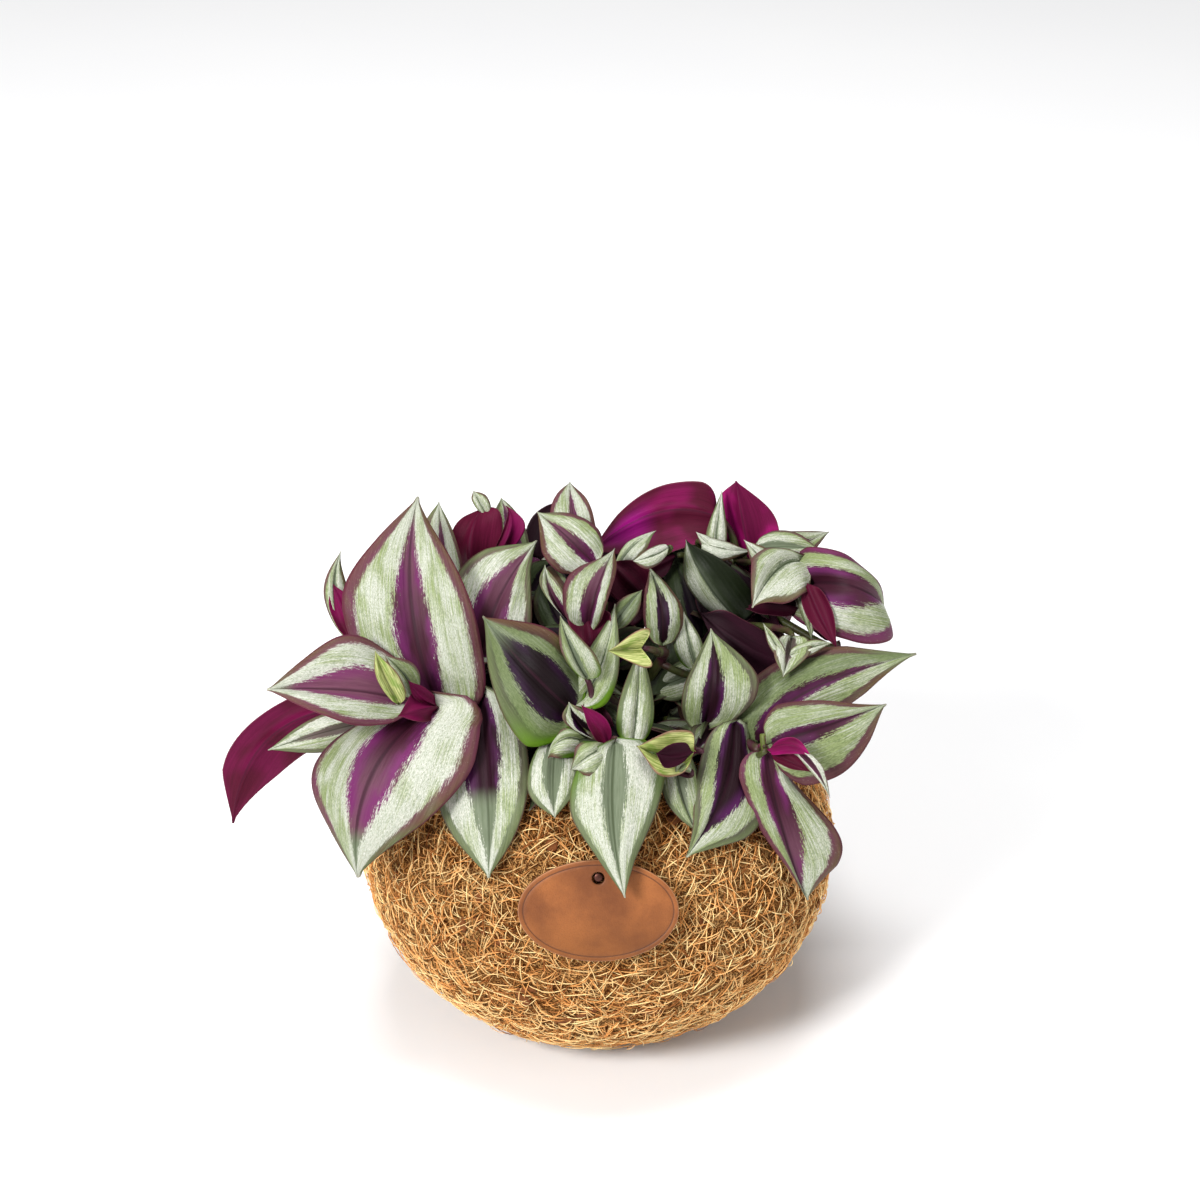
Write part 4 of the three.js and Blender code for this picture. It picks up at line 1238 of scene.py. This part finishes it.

# Small leaves and buds that have no node of their own, and the ones deep among the others, darkened with
# painted shade.
SMALL_LEAVES = [
    shown(base=(385, 718, 54), mid=(325, 732, 52), tip=(268, 750, 46),
          left=(330, 712, 51), right=(338, 750, 51), violet=0.2, mauve=0.3, silver=0.8),
    shown(base=(352, 645, 40), mid=(335, 600, 42), tip=(341, 551, 38),
          left=(325, 602, 42), right=(350, 598, 40), violet=0.1, mauve=0.8, silver=0.6),
    shown(base=(356, 645, 44), mid=(344, 615, 44), tip=(333, 584, 42),
          left=(331, 614, 44), right=(362, 612, 44), side="under", vivid=0.5),
    shown(base=(399, 703, 70), mid=(386, 679, 77), tip=(375, 651, 82),
          left=(378, 682, 79), right=(401, 679, 78), side="young", stalk=False, bulge=1.5, dim=0.3),
    shown(base=(413, 696, 62), mid=(404, 675, 67), tip=(384, 655, 73),
          left=(394, 683, 68), right=(417, 668, 66), violet=0.0, mauve=0.9, silver=0.5, stripe=0.1,
          bulge=1.6),
    shown(base=(440, 708, 58), mid=(424, 709, 68), tip=(398, 716, 72),
          left=(424, 722, 68), right=(418, 690, 66), side="under", vivid=0.3),
    shown(base=(437, 706, 60), mid=(424, 698, 67), tip=(408, 680, 70),
          left=(417, 700, 68), right=(427, 689, 66), side="under", vivid=0.3),
    shown(base=(464, 706, 42), mid=(478, 701, 44), tip=(493, 688, 40),
          left=(477, 685, 42), right=(481, 717, 46), violet=0.0, mauve=0.2, silver=0.9),
    shown(base=(573, 706, 64), mid=(600, 668, 61), tip=(615, 604, 54),
          left=[(573, 674, 61), (597, 636, 57)], right=[(612, 694, 64), (620, 650, 60)],
          violet=0.0, mauve=0.1, silver=0.5, vivid=3.0, stripe=0.05),
    shown(base=(590, 648, 58), mid=(589, 630, 57), tip=(584, 606, 54),
          left=(567, 616, 55), right=(611, 616, 56), side="under", dark=0.3),
    shown(base=(572, 694, 62), mid=(571, 678, 62), tip=(563, 658, 60),
          left=(563, 680, 62), right=(579, 674, 62), side="under", vivid=0.5),
    shown(base=(488, 518, 16), mid=(481, 505, 16), tip=(473, 491, 14),
          left=(473, 503, 16), right=(488, 498, 16), violet=0.0, mauve=1.0, silver=0.5, stripe=0.1),
    shown(base=(572, 625, 50), mid=(553, 598, 50), tip=(545, 565, 48),
          left=(543, 592, 53), right=(563, 590, 53), violet=0.3, mauve=0.4, silver=0.8, stripe=0.4),
    shown(base=(702, 670, 36), mid=(675, 681, 38), tip=(648, 692, 38),
          left=(678, 662, 37), right=(680, 700, 40), violet=0.0, mauve=0.1, silver=0.75, vivid=1.0),
    shown(base=(703, 542, 21), mid=(723, 549, 23), tip=(752, 551, 18),
          left=(721, 540, 21), right=(714, 561, 25), violet=0.1, mauve=0.8, silver=1.0, stripe=0.05),
    shown(base=(714, 549, 21), mid=(705, 541, 22), tip=(696, 532, 20),
          left=(702, 546, 22), right=(711, 538, 21), violet=0.1, mauve=1.0, silver=1.0, stripe=0.05),
    shown(base=(807, 583, 30), mid=(819, 612, 32), tip=(837, 648, 34),
          left=(806, 615, 32), right=(831, 607, 34), side="under", stalk=False, dark=0.2),
    shown(base=(796, 575, 26), mid=(807, 605, 28), tip=(811, 640, 30),
          left=(797, 603, 28), right=(814, 604, 28), violet=0.0, mauve=0.4, silver=0.8, stripe=0.1),
    shown(base=(755, 549, 14), mid=(786, 547, 15), tip=(820, 550, 12),
          left=(784, 530, 12), right=(784, 563, 16), violet=0.0, mauve=0.9, silver=0.6),
    shown(base=(767, 750, 67), mid=(790, 745, 72), tip=(812, 758, 73),
          left=(790, 737, 71), right=(788, 754, 72), side="under", vivid=1.25),
    shown(base=(769, 753, 64), mid=(788, 761, 69), tip=(811, 772, 70),
          left=(790, 752, 70), right=(786, 767, 68), side="under", stalk=False, dark=0.2),
    shown(base=(796, 748, 70), mid=(815, 766, 73), tip=(830, 798, 70),
          left=(819, 762, 74), right=(808, 768, 72), stalk=False, violet=0.3, mauve=0.9, silver=1.0,
          stripe=0.5, margin=0.95),
    shown(base=(783, 656, 49), mid=(773, 640, 49), tip=(763, 623, 45),
          left=(770, 648, 50), right=(781, 642, 50), stalk=False, violet=0.0, mauve=0.9, silver=0.8,
          stripe=0.1),
    shown(base=(790, 656, 49), mid=(811, 648, 48), tip=(832, 643, 44),
          left=(806, 641, 47), right=(808, 657, 50), stalk=False, violet=0.0, mauve=0.9, silver=0.8,
          stripe=0.1),
    shown(base=(782, 580, 20), mid=(762, 559, 24), tip=(744, 540, 23),
          left=(759, 574, 24), right=(777, 556, 22), stalk=False, violet=0.0, mauve=0.9, silver=0.8,
          stripe=0.1),
    shown(base=(668, 548, 44), mid=(650, 557, 48), tip=(633, 561, 48),
          left=(650, 548, 46), right=(652, 568, 48), violet=0.0, mauve=0.7, silver=1.0, stripe=0.1),
    shown(base=(618, 568, 38), mid=(632, 548, 40), tip=(656, 531, 36),
          left=(624, 546, 38), right=(643, 553, 42), violet=0.0, silver=0.8, stripe=0.15),
    shown(base=(612, 628, 50), mid=(626, 608, 52), tip=(642, 590, 50),
          left=(616, 604, 52), right=(636, 616, 52), violet=0.0, mauve=0.6, silver=0.2, dark=0.9),
    shown(base=(716, 556, 12), mid=(717, 528, 12), tip=(722, 490, 9),
          left=(705, 540, 12), right=(727, 538, 12), violet=0.0, silver=0.9, stripe=0.1),
    shown(base=(590, 762, 56), mid=(588, 726, 60), tip=(586, 692, 56),
          left=(564, 728, 60), right=(614, 728, 60), side="under", dark=0.7),
    shown(base=(608, 747, 70), mid=(599, 727, 73), tip=(581, 705, 74),
          left=(590, 730, 74), right=(608, 722, 74), side="under", vivid=0.6),
    shown(base=(600, 740, 66), mid=(580, 724, 68), tip=(569, 702, 70),
          left=(566, 724, 71), right=(588, 714, 71), violet=0.6, mauve=0.6, silver=0.9, dark=1.0, stripe=0.5),
    shown(base=(586, 743, 66), mid=(564, 739, 72), tip=(548, 758, 70),
          left=(561, 758, 73), right=(566, 728, 70), violet=0.0, mauve=0.9, silver=0.5, stripe=0.05,
          vivid=2.6, bulge=2.0, ripple=2.0),
    shown(base=(606, 748, 68), mid=(590, 755, 77), tip=(571, 770, 72),
          left=(598, 775, 76), right=(580, 743, 75), violet=0.0, mauve=0.9, silver=0.5, stripe=0.05,
          vivid=2.6, bulge=2.0, ripple=2.0),
    shown(base=(690, 770, 70), mid=(682, 766, 74), tip=(676, 777, 77),
          left=(677, 765, 76), right=(685, 772, 76), violet=0.0, mauve=0.1, silver=0.9, stripe=0.1),
    shown(base=(494, 560, 20), mid=(510, 530, 24), tip=(506, 506, 20),
          left=(503, 530, 24), right=(524, 532, 22), side="under", vivid=0.6),
    shaded(base=(745, 640, 20), mid=(725, 605, 16), tip=(712, 562, 8),
           left=(698, 610, 16), right=(757, 600, 16)),
    shaded(base=(735, 690, 28), mid=(722, 650, 22), tip=(738, 606, 14),
           left=(698, 655, 22), right=(752, 650, 22)),
    shown(base=(700, 640, 14), mid=(690, 598, 10), tip=(672, 556, 2),
          left=(664, 605, 10), right=(714, 596, 10), silver=0.0, dark=1.0, violet=0.3, dim=0.5),
    shaded(base=(648, 602, 38), mid=(628, 580, 42), tip=(610, 562, 40),
           left=(646, 566, 42), right=(612, 596, 42), dark=0.2),
    shaded(base=(606, 600, 8), mid=(618, 556, 4), tip=(640, 520, -4),
           left=(592, 556, 4), right=(646, 562, 4), dark=0.8),
    shown(base=(590, 660, 36), mid=(560, 620, 34), tip=(540, 580, 26),
          left=(540, 625, 34), right=(590, 610, 34), silver=0.0, dark=1.0, violet=0.4, dim=0.5),
    shown(base=(640, 700, 40), mid=(664, 650, 34), tip=(680, 600, 24),
          left=(640, 655, 34), right=(690, 660, 34), silver=0.0, dark=1.0, violet=0.2, dim=0.5),
    shaded(base=(742, 668, 28), mid=(757, 638, 22), tip=(772, 606, 14),
           left=(738, 632, 22), right=(778, 642, 22), dark=0.9),
    shaded(base=(836, 640, 24), mid=(795, 605, 20), tip=(750, 618, 24),
           left=(797, 592, 19), right=(793, 616, 22), dark=0.5),
    shaded(base=(700, 560, 0), mid=(676, 575, -4), tip=(648, 570, -8),
           left=(680, 552, -6), right=(676, 598, -2)),
    shaded(base=(770, 590, 2), mid=(765, 612, 2), tip=(745, 640, 6),
           left=(742, 606, 2), right=(779, 622, 2)),
    shown(base=(560, 560, 8), mid=(540, 580, 8), tip=(520, 610, 10),
          left=(520, 572, 6), right=(556, 596, 8), silver=0.1, dark=1.0, violet=0.4, dim=0.5),
    shaded(base=(540, 560, -6), mid=(556, 520, -10), tip=(580, 500, -16),
           left=(530, 520, -10), right=(580, 535, -10), dark=0.9),
    shaded(base=(690, 560, -8), mid=(720, 540, -12), tip=(756, 540, -16),
           left=(712, 520, -12), right=(722, 572, -10)),
    shaded(base=(694, 752, 72), mid=(675, 757, 76), tip=(656, 753, 80),
           left=(675, 743, 78), right=(670, 768, 81), stalk=False, dark=0.8, dim=0.2),
    shaded(base=(722, 664, 6), mid=(706, 638, 2), tip=(692, 606, -4),
           left=(688, 642, 2), right=(724, 632, 2), dark=0.9),
    shaded(base=(548, 640, 22), mid=(534, 614, 20), tip=(520, 584, 16),
           left=(514, 618, 20), right=(552, 608, 20), dark=0.6, dim=0.4),
    shaded(base=(632, 626, 8), mid=(614, 604, 4), tip=(600, 574, 0),
           left=(592, 610, 4), right=(640, 596, 4), dark=0.6, dim=0.4),
    shaded(base=(792, 668, 34), mid=(748, 648, 38), tip=(700, 612, 32),
           left=(738, 616, 34), right=(746, 690, 40), dark=0.9),
    shaded(base=(802, 610, 22), mid=(774, 604, 26), tip=(738, 608, 28),
           left=(776, 592, 24), right=(768, 615, 28), dark=0.6, dim=0.3),
    shaded(base=(768, 560, -4), mid=(746, 576, -4), tip=(722, 596, -4),
           left=(738, 562, -4), right=(760, 596, -4)),
    shaded(base=(782, 640, 14), mid=(768, 660, 18), tip=(752, 684, 20),
           left=(754, 652, 18), right=(784, 672, 18)),
    shaded(base=(676, 556, 10), mid=(654, 566, 10), tip=(630, 574, 8),
           left=(654, 552, 10), right=(654, 582, 10), dark=0.6, dim=0.4),
    shaded(base=(760, 700, 26), mid=(722, 690, 22), tip=(690, 664, 18),
           left=(724, 664, 20), right=(716, 716, 22)),
]

# The leaves of the far side: name, base, heading, rise and droop, length and width, and roll.
FAR_LEAVES = (
    ("h1", (-38, 30, 113), 168, 8, 58, 56, 30, 8),
    ("h2", (-36, 38, 116), 136, 14, 70, 60, 32, -6),
    ("h3", (-20, 46, 114), 112, 4, 66, 58, 31, 6),
    ("h4", (-3, 50, 118), 92, 10, 72, 62, 33, -4),
    ("h5", (13, 50, 113), 72, 2, 62, 56, 30, 5),
    ("h6", (32, 42, 112), 52, 8, 70, 60, 32, 8),
    ("h7", (43, 27, 109), 18, -4, 58, 54, 29, -8),
    ("h8", (-14, 34, 127), 124, 20, 60, 46, 25, 4),
    ("h9", (6, 38, 128), 84, 14, 46, 44, 24, -10),
    ("h10", (24, 36, 126), 58, 12, 44, 42, 23, 6),
)

# The stems' routes from the soil, as points of the part in millimetres.
STEMS = {
    "a": ((-26, -8, 92), (-38, -15, 107), (-50, -23, 114), (-62, -25, 115)),
    "b": ((4, -12, 93), (8, -26, 106), (10, -37, 111), (5, -44, 115), (-4, -42, 120)),
    "c": ((24, -10, 92), (31, -16, 105), (41, -25, 108.5), (50, -34, 108)),
    "l": ((-16, 4, 92), (-27, 2, 108), (-34, 0, 121), (-36, 6, 130), (-34, 13, 135)),
    "t": ((-8, 6, 93), (-11, -3, 112), (-8, -10, 131), (-5, -4, 141), (-4, 8, 141), (-7, 17, 141)),
    "u": ((9, 0, 93), (12, -8, 112), (20, -10, 128), (18, -20, 135)),
    "w": ((18, 4, 92), (27, 2, 105), (34, -4, 114), (40, 3, 124), (47, 8, 129)),
    "r": ((24, 12, 92), (40, 16, 107), (53, 20, 122), (61, 22, 133)),
    "m": ((10, 18, 92), (18, 25, 110), (33, 32, 128), (44, 36, 138)),
    "h": ((-18, 16, 92), (-28, 27, 106), (-35, 35, 111)),
    "k": ((0, 24, 92), (2, 36, 106), (4, 46, 113)),
}


# Making the leaves


def inner_look():
    """Leaves in the shade of the others: darkened with painted shade, with little silver."""
    ranges = dict(violet=(0.1, 0.9), mauve=(0.3, 0.9), silver=(0.0, 0.35), dark=(0.4, 1.0),
                  stripe=(0.3, 0.5), margin=(0.6, 0.8), dim=(0.35, 0.8))
    return {key: rng.uniform(*span) for key, span in ranges.items()}


class ViewShield:
    """Keeps fill-in leaves from covering the leaves that the photo shows, and its one gap."""

    def __init__(self, leaves):
        self.front = np.full((IMAGE_SIDE // SHIELD_CELL,) * 2, NOTHING_IN_FRONT)
        for leaf in leaves:
            column, row, depth = self.cells(leaf)
            np.maximum.at(self.front, (row, column), depth)

    def cells(self, leaf):
        """The cells of the photo that a leaf covers, and its depth there."""
        along = np.linspace(0, 1, 25)
        share = np.linspace(-1, 1, 17)[None, :, None]
        left, right = (side_reach(leaf, side, along)[:, None, :] for side in ("left", "right"))
        reach = np.where(share < 0, left, right) * np.abs(share)
        points = midrib(leaf, along)[:, None, :] + reach * leaf_profile(along)[:, None, None]
        points = points.reshape(-1, 3) - EYE
        ahead = points @ VIEW_AHEAD
        pixel_x = IMAGE_SIDE / 2 + FOCAL_PIXELS * points[:, 0] / ahead
        pixel_y = IMAGE_SIDE / 2 - FOCAL_PIXELS * (points @ VIEW_UP) / ahead
        last = len(self.front) - 1
        column, row = (np.clip(part // SHIELD_CELL, 0, last).astype(int) for part in (pixel_x, pixel_y))
        return column, row, BALL_REACH - ahead

    def clear(self, leaf):
        column, row, depth = self.cells(leaf)
        x, y = column * SHIELD_CELL, row * SHIELD_CELL
        in_gap = (x > GAP_LEFT) & (x < GAP_RIGHT) & (y > GAP_TOP) & (y < GAP_BOTTOM)
        front = self.front[row, column]
        covers = (depth > front - 1) & (front > NOTHING_IN_FRONT)
        return not in_gap.any() and np.mean(covers) < MOST_COVERED


def make_blade(leaf, name, look, finishes):
    batch = Batch()
    add_leaf(batch, leaf, look, young=leaf.get("side") == "young")
    batch.make("blade_" + name, finishes, "leaf", ["leaf_" + name])


def make_leaves():
    """All leaves. Returns the ones that a stalk joins to a stem."""
    finishes = [upper_leaf_finish(), under_leaf_finish(), young_leaf_finish()]
    leaves = list(SEEN_LEAVES)
    for leaf in SEEN_LEAVES:
        make_blade(leaf, leaf["name"], leaf["look"], finishes)
    for name, *growth in FAR_LEAVES:
        leaf = leaf_from_growth(*growth)
        look = dict(violet=rng.uniform(0.3, 0.9), mauve=rng.uniform(0.2, 0.9), silver=rng.uniform(0.5, 0.9))
        make_blade(leaf, name, look, finishes)
        leaves.append(leaf)
    small = Batch()
    for leaf in SMALL_LEAVES:
        add_leaf(small, leaf, leaf["look"], young=leaf["side"] == "young", grid=SMALL_GRID)
    leaves += [leaf for leaf in SMALL_LEAVES if leaf["stalk"]]
    small.make("small_leaves", finishes, "leaf")
    shield = ViewShield(leaves)
    low, fill = Batch(), Batch()
    leaves += fill_soil(low, shield)
    for points in STEMS.values():
        fill_along(fill, smooth_path(points, 80), shield)
    low.make("soil_leaves", finishes, "leaf")
    fill.make("inner_leaves", finishes, "leaf")
    return leaves


def fill_soil(batch, shield):
    """Young leaves spread over the soil, each turned until it covers nothing that the photo shows."""
    leaves = []
    for number in range(SOIL_LEAVES):
        reach = SOIL_LEAF_REACH * math.sqrt((number + 0.5) / SOIL_LEAVES)
        turn = number * GOLDEN_TURN
        height = rng.uniform(*SOIL_LEAF_LEVEL) + SOIL_LEAF_RISE * (1 - reach / SOIL_LEAF_REACH)
        base = around(reach, turn, height)
        heading = math.degrees(turn) + rng.uniform(-60, 60)
        size = rng.uniform(*SOIL_LEAF_LENGTH)
        for attempt in range(10):
            rise, droop = rng.uniform(15, 50), rng.uniform(30, 60)
            roll = rng.uniform(-25, 25)
            width = size * SOIL_LEAF_WIDTH_SHARE
            leaf = leaf_from_growth(base, heading + 36 * attempt, rise, droop, size, width, roll)
            if shield.clear(leaf):
                add_leaf(batch, leaf, inner_look(), grid=DEEP_GRID)
                leaves.append(leaf)
                break
    return leaves


def fill_along(batch, path, shield):
    """Small leaves on both sides of a stem, where they cover nothing that the photo shows."""
    length = distances(path)
    for turn, distance in enumerate(np.arange(INNER_LEAF_FIRST, length[-1] - 2, INNER_LEAF_SPACING)):
        spot = np.argmin(np.abs(length - distance))
        ahead = path[min(spot + 3, len(path) - 1)] - path[spot]
        side = math.degrees(math.atan2(ahead[1], ahead[0])) - INNER_LEAF_SPREAD * (-1) ** turn
        for attempt in range(14):
            size = rng.uniform(*INNER_LEAF_LENGTH) - attempt * 0.6
            heading = side + rng.uniform(-50, 50) + attempt * 20
            rise, droop = rng.uniform(10, 60), rng.uniform(20, 60)
            roll = rng.uniform(-30, 30)
            width = size * INNER_LEAF_WIDTH_SHARE
            leaf = leaf_from_growth(path[spot], heading, rise, droop, size, width, roll)
            if shield.clear(leaf):
                add_leaf(batch, leaf, inner_look(), grid=DEEP_GRID)
                break


# The stems


def knots(length, spacing, width):
    """1 at the nodes of a stem, 0 between them."""
    return np.exp(-((length % spacing - spacing / 2) / width) ** 2)


def make_stems(leaves):
    """The stems, a side shoot to each leaf that stands off them, and the sheaths about the leaves' feet."""
    skin, paper = stem_finish(), sheath_finish()
    tracks = []
    for name, points in STEMS.items():
        path = smooth_path(points, 12 * (len(points) - 1))
        length = distances(path)
        knot = knots(length + 4, NODE_SPACING, NODE_WIDTH)
        radius = STEM_RADIUS * (1.0 - STEM_TAPER * length / length[-1]) * (1 + NODE_SWELL * knot)
        radius[-1] *= 0.6
        batch = Batch()
        batch.add(*tube(path, radius, STEM_SIDES), node=np.repeat(knot, STEM_SIDES))
        batch.make("shoot_" + name, [skin], "stem", ["stem_" + name])
        tracks.append(path)
    track = np.concatenate(tracks)
    shoots, sheaths = Batch(), Batch()
    for leaf in leaves:
        base = leaf["base"]
        ahead = unit(midrib(leaf, 0.12) - base)
        gap = np.linalg.norm(track - base, axis=1)
        near = track[np.argmin(gap + 0.4 * np.maximum(track[:, 2] - base[2], 0))]
        span = np.linalg.norm(base - near)
        if span > SHOOT_LEAST_SPAN:
            bend = base - ahead * min(0.45 * span, 7) - np.array([0, 0, 0.08 * span])
            t = np.linspace(0, 1, max(6, int(span / 1.6)))[:, None]
            path = near * (1 - t) ** 2 + 2 * bend * t * (1 - t) + (base - ahead * 0.5) * t**2
            knot = knots(t[:, 0] * span, SHOOT_NODE_SPACING, SHOOT_NODE_WIDTH)
            radius = (SHOOT_RADIUS - SHOOT_TAPER * t[:, 0]) * (1 + SHOOT_NODE_SWELL * knot)
            shoots.add(*tube(path, radius, SHOOT_SIDES), node=np.repeat(knot, SHOOT_SIDES))
        if leaf["hidden_foot"]:
            continue
        foot = np.array([0.1])
        across = (side_reach(leaf, "right", foot) - side_reach(leaf, "left", foot))[0]
        under = -unit(np.cross(across, ahead))
        path = base + under * 0.9 + ahead * SHEATH_PLACES[:, None]
        radius = SHEATH_RADII * rng.uniform(0.85, 1.05)
        sheaths.add(*tube(path, radius, SHEATH_SIDES), node=rng.uniform(0, 1))
    shoots.make("side_shoots", [skin], "stem")
    sheaths.make("leaf_sheaths", [paper], "stem")


# The studio


def make_floor():
    half, rows = 3000, 24
    line = np.linspace(-half, half, rows)
    x, y = np.meshgrid(line, line, indexing="ij")
    points = np.stack([x, y, np.zeros_like(x)], axis=-1)
    mesh = bpy.data.meshes.new("floor")
    faces = grid_faces(rows, rows)[:, ::-1]
    mesh.from_pydata((points.reshape(-1, 3) * MM).tolist(), [], faces.tolist())
    mesh.materials.append(floor_finish())
    floor = bpy.data.objects.new("floor", mesh)
    bpy.context.scene.collection.objects.link(floor)


def make_lights(scene):
    """A white room and three soft lamps. Each lamp's place and size are in metres, its power in watts."""
    scene.world = bpy.data.worlds.new("studio")
    scene.world.use_nodes = True
    background = scene.world.node_tree.nodes["Background"]
    background.inputs["Color"].default_value = (1, 1, 1, 1)
    background.inputs["Strength"].default_value = 0.24
    lamps = (
        ("key", (-1.0, -1.25, 1.15), 0.55, 42),
        ("fill", (1.3, -1.0, 0.7), 1.4, 10.5),
        ("top", (0.0, 0.1, 1.8), 0.8, 24),
    )
    for name, where, size, power in lamps:
        light = bpy.data.lights.new(name, "AREA")
        light.size = size
        light.energy = power
        lamp = bpy.data.objects.new(name, light)
        lamp.location = where
        aim = unit(np.array([0, 0, 0.08]) - np.array(where))
        lamp.rotation_euler = (math.acos(-aim[2]), 0, math.atan2(aim[1], aim[0]) - math.pi / 2)
        scene.collection.objects.link(lamp)


def make_camera(scene):
    camera = bpy.data.cameras.new("camera")
    camera.sensor_width = SENSOR_WIDTH
    camera.lens = FOCAL_PIXELS * SENSOR_WIDTH / IMAGE_SIDE
    camera.clip_start = 0.01
    camera.clip_end = 20
    holder = bpy.data.objects.new("camera", camera)
    holder.location = EYE * MM
    holder.rotation_euler = (math.pi / 2 - AXIS_RISE, 0, 0)
    scene.collection.objects.link(holder)
    scene.camera = holder
    scene.view_settings.view_transform = "Standard"


make_floor()
make_lights(bpy.context.scene)
make_camera(bpy.context.scene)
make_coir_body()
make_fibres()
make_husk()
make_grow_pot()
make_soil()
make_tag()
make_stems(make_leaves())
